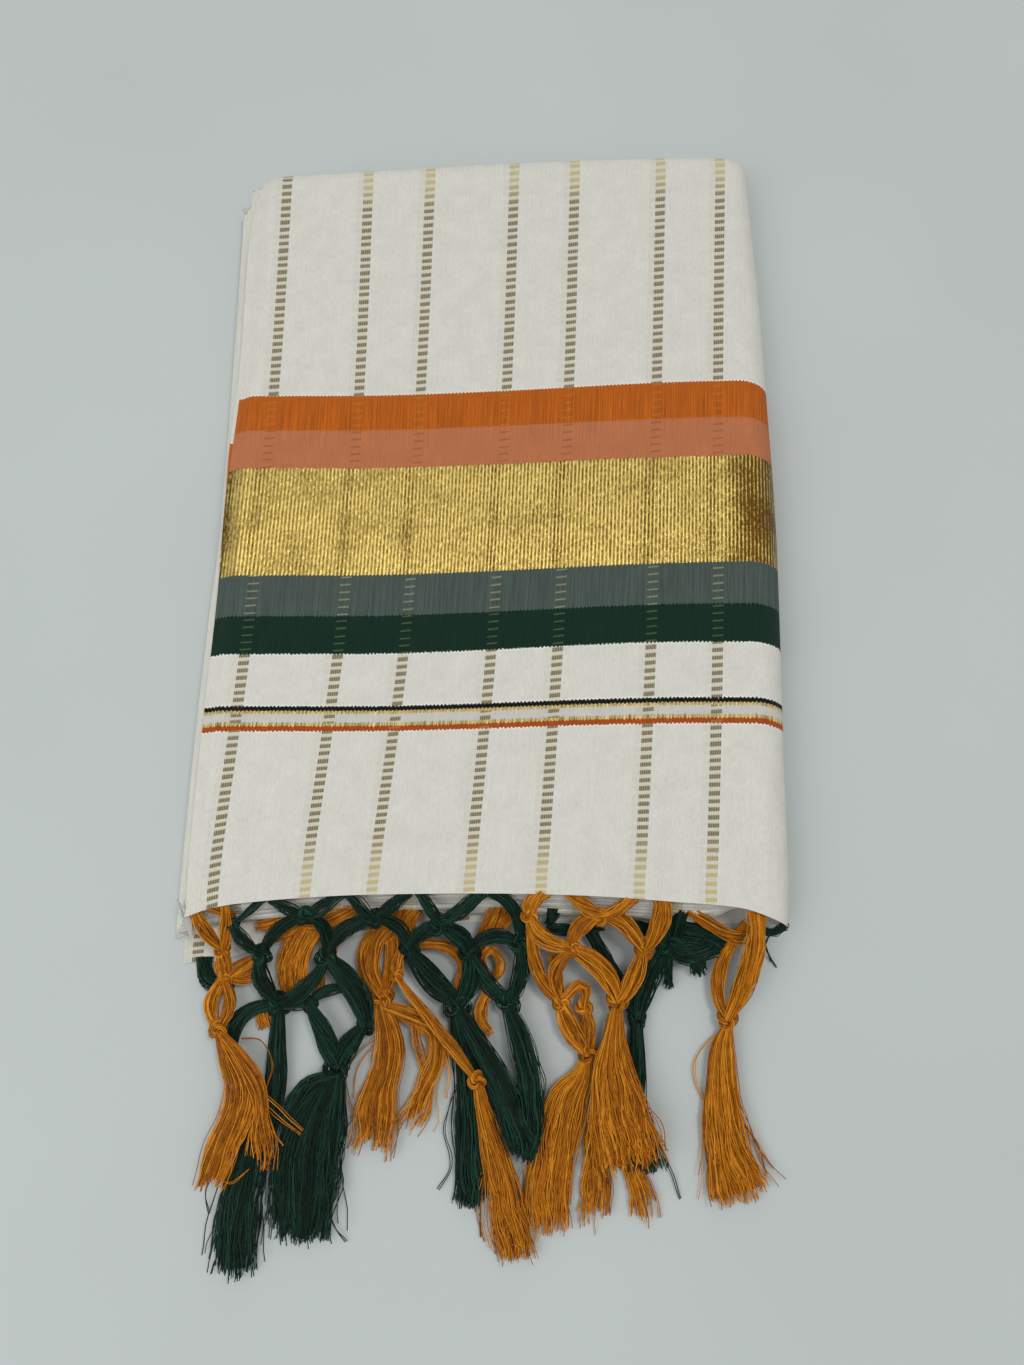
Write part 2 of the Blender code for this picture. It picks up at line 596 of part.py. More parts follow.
def lock_places(tassel, head, column, row):
    """The places along one lock of a tassel, fanned out from the head."""
    middle, tip = Vector(tassel.middle), Vector(tassel.tip)
    row_shift = (LOCK_ROW_SHIFT if row else -LOCK_ROW_SHIFT) * (tassel.rows - 1)
    across = (column + 0.5 + row_shift) / tassel.columns * 2.0 - 1.0
    lift = (row - (tassel.rows - 1) / 2.0) * LOCK_ROW_PITCH
    run = (tip - head).normalized()
    sideways = Vector((-run.y, run.x, 0.0)).normalized()
    root_spread = tassel.head_width * ROOT_SPREAD
    stations = (
        (head, root_spread, ROOT_LIFT),
        (head.lerp(middle, 0.5), (root_spread + tassel.middle_width) / 2.0, NECK_LIFT),
        (middle, tassel.middle_width, 1.0),
        (tip, tassel.tip_width, 1.0),
    )
    places = []
    for place, spread, lift_share in stations:
        half_width = min(spread / tassel.columns * 2.0 * LOCK_FILL, LOCK_WIDEST)
        place = place + sideways * across * spread + Vector((0.0, 0.0, lift * lift_share))
        places.append((*place, half_width))
    return places


def tassel_bunch(tassel, knot, material):
    """A tassel: a head with locks of thread that stand apart below it, as meshes to join."""
    head = tassel_head(tassel, knot)
    meshes = [knot_mesh(head, tassel.head_width)]
    for row in range(tassel.rows):
        for column in range(tassel.columns):
            meshes.append(strand_mesh(lock_places(tassel, head, column, row), LOCK_RESOLUTION))
    return Bunch(tassel.name, meshes, material)


def build_strand(name, places, group, material):
    """A single strand of thread that lies by itself."""
    new_object(name, strand_mesh(places, ARM_RESOLUTION), group, material)


def main():
    """Builds the saree's pieces in one collection and the pieces they are joined from in another."""
    clear_scene()
    parts = make_collection("kasavu_saree")
    joined = make_collection("joined_pieces")
    cotton = make_material("cream cotton", COTTON)
    shaded = make_material("cream cotton in shade", SHADED_COTTON)
    threads = {
        "orange": make_material("orange cotton thread", ORANGE_THREAD),
        "green": make_material("dark green cotton thread", GREEN_THREAD),
    }
    build_core(parts, shaded)
    build_outer_ply(parts, cotton)
    build_second_ply(parts, cotton)
    build_lower_ply(parts, cotton)
    nets = (
        ("net_green", GREEN_KNOTS, GREEN_ARMS, "green"),
        ("net_orange", ORANGE_KNOTS, ORANGE_ARMS, "orange"),
        ("net_orange_left", LEFT_KNOTS, LEFT_ARMS, "orange"),
        ("net_orange_loop", LOOP_KNOTS, LOOP_ARMS, "orange"),
        ("strand_orange_knotted", STRAND_KNOTS, STRAND_ARMS, "orange"),
        ("net_orange_right", RIGHT_KNOTS, RIGHT_ARMS, "orange"),
        ("tuft_green_right", TUFT_KNOTS, TUFT_ARMS, "green"),
    )
    bunches = [net_bunch(name, knots, arms, threads[colour]) for name, knots, arms, colour in nets]
    knots_by_name = {knot.name: knot for knots in ALL_KNOTS for knot in knots}
    bunches += [
        tassel_bunch(tassel, knots_by_name[tassel.knot], threads[tassel.colour]) for tassel in TASSELS
    ]
    strands = (
        ("strand_orange_under_left", UNDER_LEFT_STRAND, "orange"),
        ("strand_orange_under_middle", UNDER_MIDDLE_STRAND, "orange"),
        ("strand_green_corner", CORNER_STUB, "green"),
    )
    for name, places, colour in strands:
        build_strand(name, places, parts, threads[colour])
    for bunch in bunches:
        join_solids(bunch, parts, joined)


if __name__ == "__main__":
    main()
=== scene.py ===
"""Looks for a kasavu saree, folded flat, with the knotted fringe of its pallu towards the viewer.

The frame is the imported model's: +Y runs along the packet away from the viewer, +X to the right and
+Z up, with the origin under the middle of the packet. Sizes are in millimetres, and MM turns them
to metres where a mesh is made.
"""

import logging
import math
import random
from dataclasses import dataclass
from enum import Enum
from functools import partial
from itertools import count
from typing import Callable, NamedTuple, Sequence

import bpy
from bpy.types import Material, Node, NodeSocket, NodeTree, Object
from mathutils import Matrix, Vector, noise


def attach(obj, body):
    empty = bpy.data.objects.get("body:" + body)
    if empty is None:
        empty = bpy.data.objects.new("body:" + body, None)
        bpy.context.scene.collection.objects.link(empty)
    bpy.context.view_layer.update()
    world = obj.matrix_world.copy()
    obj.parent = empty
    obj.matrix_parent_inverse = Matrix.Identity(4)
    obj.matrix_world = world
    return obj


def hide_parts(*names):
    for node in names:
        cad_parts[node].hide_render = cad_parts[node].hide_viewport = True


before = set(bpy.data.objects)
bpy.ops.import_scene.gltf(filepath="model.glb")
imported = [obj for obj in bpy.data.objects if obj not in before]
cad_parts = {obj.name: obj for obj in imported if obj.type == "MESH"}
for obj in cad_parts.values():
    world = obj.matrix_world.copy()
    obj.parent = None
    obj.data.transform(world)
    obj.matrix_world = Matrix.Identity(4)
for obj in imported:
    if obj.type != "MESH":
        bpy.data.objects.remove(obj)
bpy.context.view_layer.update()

MM = 0.001
ROOT_BODY = "root"
WEAVE_MAP = "weave"
GOLDEN_ANGLE = math.pi * (3.0 - math.sqrt(5.0))
WANDER_STEP = 7.31
NET_SEED = 100
TASSEL_SEED = 400
UNDER_SEED = 800
SEED_STEP = 20
LOCK_SEEDS = 10

CREAM = "E1DDD2"
EDGE_WHITE = "EEEBE2"
TAUPE = "857759"

Point = tuple[float, float, float]
Laid = tuple[Vector, tuple[float, float]]

log = logging.getLogger("kasavu_saree")


class Yarn(Enum):
    """The dyed yarns of the fringe."""

    ORANGE = "orange_thread"
    GREEN = "green_thread"


class SidePoint(NamedTuple):
    """How far across a side of the packet lies at a place along it."""

    along: float
    across: float


class EndPoint(NamedTuple):
    """How far along an end of the packet lies at a place across it."""

    across: float
    along: float


class ProfilePoint(NamedTuple):
    """How far the stack stands in from its outermost line at a share of its height."""

    share: float
    inset: float


class WarpStripe(NamedTuple):
    """Where a zari stripe runs: its place in the weave, and its place across at four stations."""

    woven: float
    near: float
    lower: float
    upper: float
    far: float


class WeftLine(NamedTuple):
    """A weft of the pallu: its distance from the hem, where it lies at the left and how far it has
    risen at the right."""

    woven: float
    along: float
    rise: float


class Band(NamedTuple):
    """A woven band: where it starts from the hem, its colour and its dashes' colour, how much the
    stripes' gaps and dashes show on it, how streaked it is along the warp, and how much is zari."""

    start: float
    colour: str
    dash_colour: str = TAUPE
    gaps: float = 0.5
    dashes: float = 1.0
    streaks: float = 0.05
    zari: float = 0.0


class Knot(NamedTuple):
    """A knot of the net: its name, its middle and its half width."""

    name: str
    x: float
    y: float
    z: float
    half_width: float


class Arm(NamedTuple):
    """A run of threads between two ends: each a knot's name, a place across the hem, or a point."""

    start: str | float | Point
    end: str | float | Point
    bow: Point
    half_width: float


class Station(NamedTuple):
    """A place on the middle line of a lock of threads, with the lock's half width and half height."""

    x: float
    y: float
    z: float
    half_width: float
    half_height: float


class Lock(NamedTuple):
    """A lock of threads: how many there are, how ragged their ends are, and the line they follow."""

    threads: int
    raggedness: float
    stations: tuple[Station, ...]


class Strand(NamedTuple):
    """One thread: its points, its radius and whether it closes on itself."""

    points: list[Vector]
    radius: float
    closed: bool


def lock(threads: int, raggedness: float, *rows: tuple[float, ...]) -> Lock:
    """Makes a lock from rows with a Station's columns."""
    return Lock(threads, raggedness, tuple(Station(*row) for row in rows))


STRIPE_STATIONS = (-204.0, -70.0, 66.0, 208.0)
STRIPES = (
    WarpStripe(14.5, -133.5, -124.8, -119.8, -120.2),
    WarpStripe(62.5, -89.7, -77.3, -73.4, -73.4),
    WarpStripe(97.5, -57.7, -44.2, -40.0, -37.5),
    WarpStripe(145.5, -11.2, 0.0, 6.8, 11.2),
    WarpStripe(180.5, 23.3, 33.5, 40.5, 46.1),
    WarpStripe(228.5, 70.4, 80.8, 88.4, 96.0),
    WarpStripe(263.5, 104.7, 114.5, 121.6, 130.3),
)
STRIPE_REPEAT = 83.0
STRIPE_PAIR = 48.0
STRIPE_HALF_WIDTH = 2.8
FIRST_STRIPE = 14.5

WEFTS = (
    WeftLine(82.2, -125.8, 4.3),
    WeftLine(93.5, -114.5, 4.7),
    WeftLine(120.9, -87.1, 6.6),
    WeftLine(140.8, -67.2, 7.0),
    WeftLine(162.7, -45.3, 8.0),
    WeftLine(224.0, 16.0, 7.8),
    WeftLine(244.3, 36.3, 8.2),
    WeftLine(267.0, 59.0, 9.5),
    WeftLine(408.7, 200.7, 9.0),
)
BANDS = (
    Band(0.0, CREAM),
    Band(80.3, EDGE_WHITE),
    Band(81.0, "B04E16", "C99A5A", 0.0, 0.5, 0.3, 0.1),
    Band(83.7, "D2B97A", TAUPE, 0.0, 0.0, 1.2, 0.6),
    Band(85.3, "D2CDC4"),
    Band(89.8, "D2B97A", TAUPE, 0.0, 0.0, 1.2, 0.6),
    Band(91.4, "0D100C", "4A4634", 0.0, 0.3, 0.2, 0.0),
    Band(93.7, EDGE_WHITE),
    Band(94.5, CREAM),
    Band(120.2, EDGE_WHITE),
    Band(120.9, "0C2B1E", "66744F", 0.0, 0.6, 0.4, 0.0),
    Band(141.2, "4C5751", "9C997B", 0.0, 0.85, 0.5, 0.0),
    Band(163.4, "B08C3A", TAUPE, 0.0, 0.0, 0.3, 1.0),
    Band(224.0, "C0744C", "8E5238", 0.0, 0.6, 0.2, 0.0),
    Band(246.2, "BC5E10", "D9A24E", 0.0, 0.2, 0.5, 0.0),
    Band(267.0, EDGE_WHITE),
    Band(267.7, CREAM),
)


def read_curve(rows: Sequence[tuple[float, float]], place: float) -> float:
    """Reads a table of places and values, with a smooth cubic between its rows.

    Args:
        rows: Pairs of a place and the value there, in rising order of place.
        place: Where to read the table.

    Returns:
        The value at the place, or the end value outside the table.
    """
    if place <= rows[0][0]:
        return rows[0][1]
    if place >= rows[-1][0]:
        return rows[-1][1]
    index = max(i for i, row in enumerate(rows) if row[0] <= place)

    def slope(i: int) -> float:
        """The slope at a row, from its neighbours."""
        low, high = rows[max(i - 1, 0)], rows[min(i + 1, len(rows) - 1)]
        return (high[1] - low[1]) / (high[0] - low[0])

    start, first = rows[index][:2]
    end, last = rows[index + 1][:2]
    span = end - start
    t = (place - start) / span
    value = (2 * t**3 - 3 * t**2 + 1) * first + (3 * t**2 - 2 * t**3) * last
    return value + span * ((t**3 - 2 * t**2 + t) * slope(index) + (t**3 - t**2) * slope(index + 1))


def soft_step(value: float) -> float:
    """Eases 0 to 1 with flat ends."""
    value = min(max(value, 0.0), 1.0)
    return value * value * (3.0 - 2.0 * value)


def wander(seed: float, x: float, y: float = 0.0) -> float:
    """A smooth random value from about -1 to 1 that is the same in every run."""
    return noise.noise(Vector((x, y, seed * WANDER_STEP)))


def srgb(code: str) -> tuple[float, float, float, float]:
    """Turns an sRGB hex code to a linear colour with full alpha."""

    def linear(part: str) -> float:
        """One channel of the code as linear light."""
        value = int(part, 16) / 255.0
        return value / 12.92 if value <= 0.04045 else ((value + 0.055) / 1.055) ** 2.4

    return (linear(code[0:2]), linear(code[2:4]), linear(code[4:6]), 1.0)


def feed(node: Node, values: dict) -> None:
    """Sets and links what a shader node reads.

    Args:
        node: The node.
        values: What each input gets, by its name or number, and each property, by its name. A
            socket is linked to the input, and so is a node, by its first output in use.
    """
    for key, value in values.items():
        if isinstance(value, Node):
            value = next(socket for socket in value.outputs if socket.enabled)
        if isinstance(value, NodeSocket):
            node.id_data.links.new(value, node.inputs[key])
        elif isinstance(key, int) or key in node.inputs:
            node.inputs[key].default_value = value
        else:
            setattr(node, key, value)


def add_node(tree: NodeTree, kind: str, values: dict) -> Node:
    """Adds a shader node and feeds it.

    Args:
        tree: The node tree of a material.
        kind: The node's type name without ShaderNode, and its operation after a space.
        values: What the node's inputs and properties get.

    Returns:
        The new node.
    """
    name, _, operation = kind.partition(" ")
    node = tree.nodes.new("ShaderNode" + name)
    if operation:
        node.operation = operation
    feed(node, values)
    return node


def new_material(name: str) -> tuple[Material, Callable[..., Node], Node]:
    """Makes a material and returns it with what adds its nodes and with its shader."""
    material = bpy.data.materials.new(name)
    material.use_nodes = True
    return material, partial(add_node, material.node_tree), material.node_tree.nodes["Principled BSDF"]


def fill_ramp(node: Node, colours: Sequence[tuple[float, ...]]) -> Node:
    """Gives each colour an equal slot of a colour ramp, with no blending between the slots."""
    ramp = node.color_ramp
    ramp.interpolation = "CONSTANT"
    while len(ramp.elements) > 1:
        ramp.elements.remove(ramp.elements[-1])
    ramp.elements[0].position = 0.0
    ramp.elements[0].color = colours[0]
    for index, colour in enumerate(colours[1:], 1):
        ramp.elements.new(index / len(colours)).color = colour
    return node


@dataclass(frozen=True)
class HandloomCotton:
    """Handloom kasavu cloth: plain woven unbleached cotton with zari stripes and dyed bands.

    The cotton scatters light and has a fine fuzz. Zari is a flat metallic thread, so its floats are glossy,
    look dull where they mirror a dark room and flash where the cloth turns to a light; near the hem and the
    far fold that flash is also painted into the dashes' colour as a painted glint, and the gold band
    carries painted highlights and painted shade.
    Lengths are millimetres of the flat weave.
    """

    name: str = "handloom cotton with zari"
    cotton_roughness: float = 0.86
    cotton_gloss: float = 0.2
    fuzz: float = 0.04
    fuzz_roughness: float = 0.5
    zari_roughness: float = 0.34
    zari_metal: float = 0.75
    dash_metal: float = 0.5
    all_zari: float = 0.9
    band_teeth: float = 0.3
    dash_turns: float = 0.28
    dash_slowing: float = 0.000095
    dash_wander: float = 0.5
    thick_dash: float = 0.54
    thin_dash: float = 0.2
    dash_skew: float = 0.017
    # Painted glint: where the dashes turn light gold near the hem and the far fold, as if the zari caught
    # the light where the cloth turns
    glint_at_hem: tuple[float, float] = (12.0, 30.0)
    glint_at_fold: tuple[float, float] = (386.0, 402.0)
    glint_across_start: tuple[float, float] = (30.0, 40.0)
    # Width of the painted shade where the gold turns down at the left selvedge
    selvedge_shade_width: float = 1.5
    clear_gold: tuple[float, float] = (60.0, 170.0)
    # Where the painted shade falls on the gold as it turns down over the right roll
    painted_roll_shade: tuple[float, float] = (266.0, 281.0)
    # How much the painted highlight brightens the gold's patches
    patch_highlight: float = 0.72
    stripe_dulling: float = 0.14
    warp_per_mm: Point = (1.7, 0.03, 0.0)
    slub_per_mm: Point = (0.9, 0.3, 0.0)
    fleck_per_mm: Point = (0.8, 0.36, 0.0)
    pucker_per_mm: float = 0.09
    gold_patch_per_mm: float = 0.045
    dash_change_per_mm: float = 0.12
    weft_stretch: Point = (0.02, 1.0, 0.0)
    float_pitch: float = 1.15
    rib_pitch: float = 2.0
    thread_pitch: float = 0.75
    show_through: float = 3.4
    weave_relief: float = 0.16
    weave_bump: float = 0.7
    fleck_relief: float = 3.0
    pucker_relief: float = 1.0
    pucker_bump: float = 0.3
    gap_colour: str = "D4C9AE"
    ghost_colour: str = "C9BCA2"
    painted_glint_colour: str = "DDCB92"
    # Shaded and highlit tones of the one gold, mixed by the gold band's painted highlights and painted
    # shade
    gold_painted_shade: str = "6A4A10"
    gold_painted_highlight: str = "FFDD7E"

    def stripe_mask(self, add: Callable, across: NodeSocket, shift: float) -> Node:
        """Marks the warp stripes, two in each repeat.

        Args:
            add: Adds a node to the material.
            across: The distance from the selvedge in millimetres.
            shift: How far the stripes are moved to the left.

        Returns:
            A node that gives 1 on a stripe.
        """
        before = STRIPE_REPEAT + STRIPE_HALF_WIDTH - FIRST_STRIPE + shift
        start = add("Math ADD", {0: across, 1: before})
        repeat = add("Math MODULO", {0: start, 1: STRIPE_REPEAT})
        first, second = (
            add("Math COMPARE", {0: repeat, 1: middle, 2: STRIPE_HALF_WIDTH})
            for middle in (STRIPE_HALF_WIDTH, STRIPE_HALF_WIDTH + STRIPE_PAIR)
        )
        return add("Math ADD", {0: first, 1: second})

    def band_share(self, add: Callable, along: Node) -> Node:
        """Numbers the bands, because a colour ramp is too coarse to hold their edges in millimetres.

        Args:
            add: Adds a node to the material.
            along: The distance from the hem in millimetres.

        Returns:
            A node that gives the middle of the band's slot in a ramp with a slot for each band.
        """
        share = add("Value", {})
        share.outputs[0].default_value = 0.5 / len(BANDS)
        for band in BANDS[1:]:
            passed = add("Math GREATER_THAN", {0: along, 1: band.start})
            share = add("Math MULTIPLY_ADD", {0: passed, 1: 1.0 / len(BANDS), 2: share})
        return share

    def gold(
        self, add: Callable, place: Node, across: NodeSocket,
        fleck: Node, rib_wave: Node, under_stripe: Node,
    ) -> Node:
        """Colours the gold band: ribs of zari, clear at the right and broken into flecks at the left, with
        painted highlights on the ribs and flecks, painted shade in the grooves, and painted shade where it
        turns down at the left selvedge and over the right roll.

        Args:
            add: Adds a node to the material.
            place: The place in the weave in millimetres.
            across: The distance from the selvedge in millimetres.
            fleck: The noise that breaks the ribs.
            rib_wave: The ribs' wave.
            under_stripe: Marks the stripes of the ply below, which dull the gold.

        Returns:
            A node that gives the gold's colour.
        """
        patch = add("TexNoise", {"Scale": self.gold_patch_per_mm, "Detail": 2.0, "Vector": place})
        # Painted highlights on the flecks, ribs and patches of the gold, and painted shade in the grooves
        # between the ribs
        fleck_highlight = add("MapRange", {0: fleck, 1: 0.45, 2: 0.66, 3: 0.02, 4: 0.7})
        rib_highlight = add("MapRange", {0: rib_wave, 1: -0.5, 2: 0.9, 3: -0.45, 4: 0.75})
        patchy = add("MapRange", {0: patch, 1: 0.42, 2: 0.58, 3: 0.14, 4: 0.56})
        start, end = self.clear_gold
        to_right = add("MapRange", {0: across, 1: start, 2: end, 3: 0.0, 4: 0.3})
        rib_weight = add("Math ADD", {0: patchy, 1: to_right})
        ribs = add("Math MULTIPLY", {0: rib_highlight, 1: rib_weight})
        on_ribs = add("Math ADD", {0: ribs, 1: fleck_highlight})
        on_patch = add("Math MULTIPLY_ADD", {0: patch, 1: self.patch_highlight, 2: on_ribs})
        dull_stripe = add("Math MULTIPLY", {0: under_stripe, 1: self.stripe_dulling})
        on_stripe = add("Math SUBTRACT", {0: on_patch, 1: dull_stripe})
        # Painted shade where the gold turns down at the left selvedge and over the right roll, which
        # darkens its gleam
        selvedge = add("MapRange", {0: across, 1: -4.0, 2: -self.selvedge_shade_width, 3: 0.34, 4: 0.0})
        start, end = self.painted_roll_shade
        painted_roll_shade = add("MapRange", {0: across, 1: start, 2: end, 3: 0.0, 4: 0.66})
        edges = add("Math ADD", {0: selvedge, 1: painted_roll_shade})
        painted_gleam = add("Math SUBTRACT", {"use_clamp": True, 0: on_stripe, 1: edges})
        tints = {"A": srgb(self.gold_painted_shade), "B": srgb(self.gold_painted_highlight)}
        return add("Mix", {"data_type": "RGBA", **tints, "Factor": painted_gleam})

    def dashes(
        self, add: Callable, place: Node, across: NodeSocket,
        along: NodeSocket, share_shown: NodeSocket,
    ) -> Node:
        """Makes the stripes' dashes: zari wefts that float over them, not quite evenly.

        Args:
            add: Adds a node to the material.
            place: The place in the weave in millimetres.
            across: The distance from the selvedge in millimetres.
            along: The distance from the hem in millimetres.
            share_shown: How much the dashes show on the band. They are thin where it is not in full.

        Returns:
            A node that gives 1 on a dash.
        """
        weft_only = add("VectorMath MULTIPLY", {0: place, 1: self.weft_stretch})
        unevenness = add("TexNoise", {"Scale": self.dash_change_per_mm, "Detail": 3.0, "Vector": weft_only})
        slowing = add("Math MULTIPLY_ADD", {0: along, 1: -self.dash_slowing, 2: self.dash_turns})
        wandering = add("Math MULTIPLY", {0: unevenness, 1: self.dash_wander})
        skewed = add("Math MULTIPLY_ADD", {0: across, 1: -self.dash_skew, 2: wandering})
        turns = add("Math MULTIPLY", {0: along, 1: slowing})
        phase = add("Math ADD", {0: skewed, 1: turns})
        part = add("Math FRACT", {0: phase})
        dash_end = add("MapRange", {0: share_shown, 1: 0.9, 2: 0.95, 3: self.thin_dash, 4: self.thick_dash})
        before_end = add("Math SUBTRACT", {0: dash_end, 1: part})
        return add("MapRange", {0: before_end, 1: -0.08, 2: 0.08, 3: 0.0, 4: 1.0})

    def material(self) -> Material:
        """Builds the cloth's material, which reads the weave map: across and along in metres."""
        material, add, shader = new_material(self.name)
        uv = add("UVMap", {"uv_map": WEAVE_MAP})
        place = add("VectorMath MULTIPLY", {0: uv, 1: (1.0 / MM, 1.0 / MM, 0.0)})
        across, along, _ = add("SeparateXYZ", {0: place}).outputs

        # Each warp thread ends a band a little higher or lower than its neighbour
        warp_only = add("VectorMath MULTIPLY", {0: place, 1: self.warp_per_mm})
        warp = add("TexNoise", {"Scale": 1.0, "Detail": 2.0, "Roughness": 0.6, "Vector": warp_only})
        ragged = add("Math MULTIPLY_ADD", {0: warp, 1: 2.0, 2: -1.0})
        rib_turn = add("Math MULTIPLY", {0: across, 1: math.tau / self.rib_pitch})
        rib_wave = add("Math SINE", {0: rib_turn})
        toothed = add("Math MULTIPLY_ADD", {0: rib_wave, 1: self.band_teeth, 2: ragged})
        share = self.band_share(add, add("Math ADD", {0: along, 1: toothed}))
        bands = fill_ramp(add("ValToRGB", {0: share}), [srgb(band.colour) for band in BANDS])
        marks = fill_ramp(add("ValToRGB", {0: share}), [band[3:] for band in BANDS])
        tints = fill_ramp(add("ValToRGB", {0: share}), [srgb(band.dash_colour) for band in BANDS])
        show_gaps, show_dashes, show_streaks = add("SeparateColor", {0: marks}).outputs
        zari = marks.outputs["Alpha"]
        gold_in = add("Math GREATER_THAN", {0: zari, 1: self.all_zari})
        stripe = self.stripe_mask(add, across, 0.0)
        under_stripe = self.stripe_mask(add, across, self.show_through)

        dash = self.dashes(add, place, across, along, show_dashes)
        float_turn = add("Math MULTIPLY", {0: across, 1: math.tau / self.float_pitch})
        float_wave = add("Math SINE", {0: float_turn})
        floats = add("MapRange", {0: float_wave, 1: -1.0, 2: 0.2, 3: 0.62, 4: 1.0})
        dash_full = add("Math MULTIPLY", {0: dash, 1: floats})
        dash_stripe = add("Math MULTIPLY", {0: dash_full, 1: stripe})
        dash_here = add("Math MULTIPLY", {0: dash_stripe, 1: show_dashes})
        gap_here = add("Math MULTIPLY", {0: stripe, 1: show_gaps})

        fleck_place = add("VectorMath MULTIPLY", {0: place, 1: self.fleck_per_mm})
        fleck = add("TexNoise", {"Scale": 1.0, "Detail": 3.0, "Roughness": 0.75, "Vector": fleck_place})
        gold = self.gold(add, place, across, fleck, rib_wave, under_stripe)

        # Cotton: slubs along both sets of threads, and streaks along the warp of the dyed bands
        slub_place = add("VectorMath MULTIPLY", {0: place, 1: self.slub_per_mm})
        slub = add("TexNoise", {"Scale": 1.0, "Detail": 4.0, "Roughness": 0.65, "Vector": slub_place})
        patches = {"Scale": self.pucker_per_mm, "Detail": 3.0, "Roughness": 0.55}
        pucker = add("TexNoise", {**patches, "Vector": place})
        slub_tone = add("MapRange", {0: slub, 1: 0.3, 2: 0.7, 3: 0.93, 4: 1.05})
        streak = add("MapRange", {0: warp, 1: 0.3, 2: 0.7, 3: -0.6, 4: 0.6})
        streak_tone = add("Math MULTIPLY_ADD", {0: streak, 1: show_streaks, 2: 1.0})
        pucker_tone = add("MapRange", {0: pucker, 1: 0.3, 2: 0.7, 3: 0.955, 4: 1.03})
        fine_tone = add("Math MULTIPLY", {0: slub_tone, 1: streak_tone})
        tone = add("Math MULTIPLY", {0: fine_tone, 1: pucker_tone})
        toned = {"data_type": "RGBA", "blend_type": "MULTIPLY", "Factor": 1.0}
        cotton = add("Mix", {**toned, "A": bands, "B": tone})

        # From below upwards: the lower ply's stripes, the gold, the stripes' gaps and their dashes, which
        # carry a painted glint near the hem and the far fold
        ghost = add("Math MULTIPLY", {0: under_stripe, 1: show_gaps})
        ghost_dash = add("MapRange", {0: dash, 3: 0.16, 4: 0.42})
        ghost_here = add("Math MULTIPLY", {0: ghost, 1: ghost_dash})
        # Painted glint: near the hem and the far fold the dashes' tint turns to a light gold
        (hem, hem_end), (fold, fold_end) = self.glint_at_hem, self.glint_at_fold
        at_hem = add("MapRange", {0: along, 1: hem, 2: hem_end, 3: 0.8, 4: 0.0})
        at_fold = add("MapRange", {0: along, 1: fold, 2: fold_end, 3: 0.0, 4: 0.8})
        either = add("Math MAXIMUM", {0: at_hem, 1: at_fold})
        past, past_end = self.glint_across_start
        past_first = add("MapRange", {0: across, 1: past, 2: past_end, 3: 0.0, 4: 1.0})
        painted_glint = add("Math MULTIPLY", {0: either, 1: past_first})
        painted_glint_tone = srgb(self.painted_glint_colour)
        dash_tone = add("Mix", {"data_type": "RGBA", "Factor": painted_glint, "A": tints, "B": painted_glint_tone})
        colour = cotton
        for factor, upper in (
            (ghost_here, srgb(self.ghost_colour)), (gold_in, gold), (gap_here, srgb(self.gap_colour)),
            (dash_here, dash_tone),
        ):
            colour = add("Mix", {"data_type": "RGBA", "Factor": factor, "A": colour, "B": upper})
        metal = add("Math MULTIPLY_ADD", {"use_clamp": True, 0: dash_here, 1: self.dash_metal, 2: zari})

        # Plain weave, drawn at twice its real pitch so that it shows: threads over and under threads
        thread_turn = add("VectorMath SCALE", {0: place, "Scale": math.tau / self.thread_pitch})
        thread_wave = add("VectorMath SINE", {0: thread_turn})
        over, under, _ = add("SeparateXYZ", {0: thread_wave}).outputs
        crossing = add("Math MULTIPLY", {0: over, 1: under})
        rib_relief = add("Math MULTIPLY_ADD", {0: fleck, 1: self.fleck_relief, 2: rib_wave})
        relief = add("Mix", {"data_type": "FLOAT", "Factor": gold_in, "A": crossing, "B": rib_relief})
        fine = {"Strength": self.weave_bump, "Distance": self.weave_relief * MM}
        bump = add("Bump", {**fine, "Height": relief})
        soft = {"Strength": self.pucker_bump, "Distance": self.pucker_relief * MM}
        feed(shader, {
            "Base Color": colour,
            "Metallic": add("Math MULTIPLY", {0: metal, 1: self.zari_metal}),
            "Roughness": add("MapRange", {0: metal, 3: self.cotton_roughness, 4: self.zari_roughness}),
            "Normal": add("Bump", {**soft, "Height": pucker, "Normal": bump}),
            "Specular IOR Level": self.cotton_gloss,
            "Sheen Weight": self.fuzz, "Sheen Roughness": self.fuzz_roughness,
        })
        return material


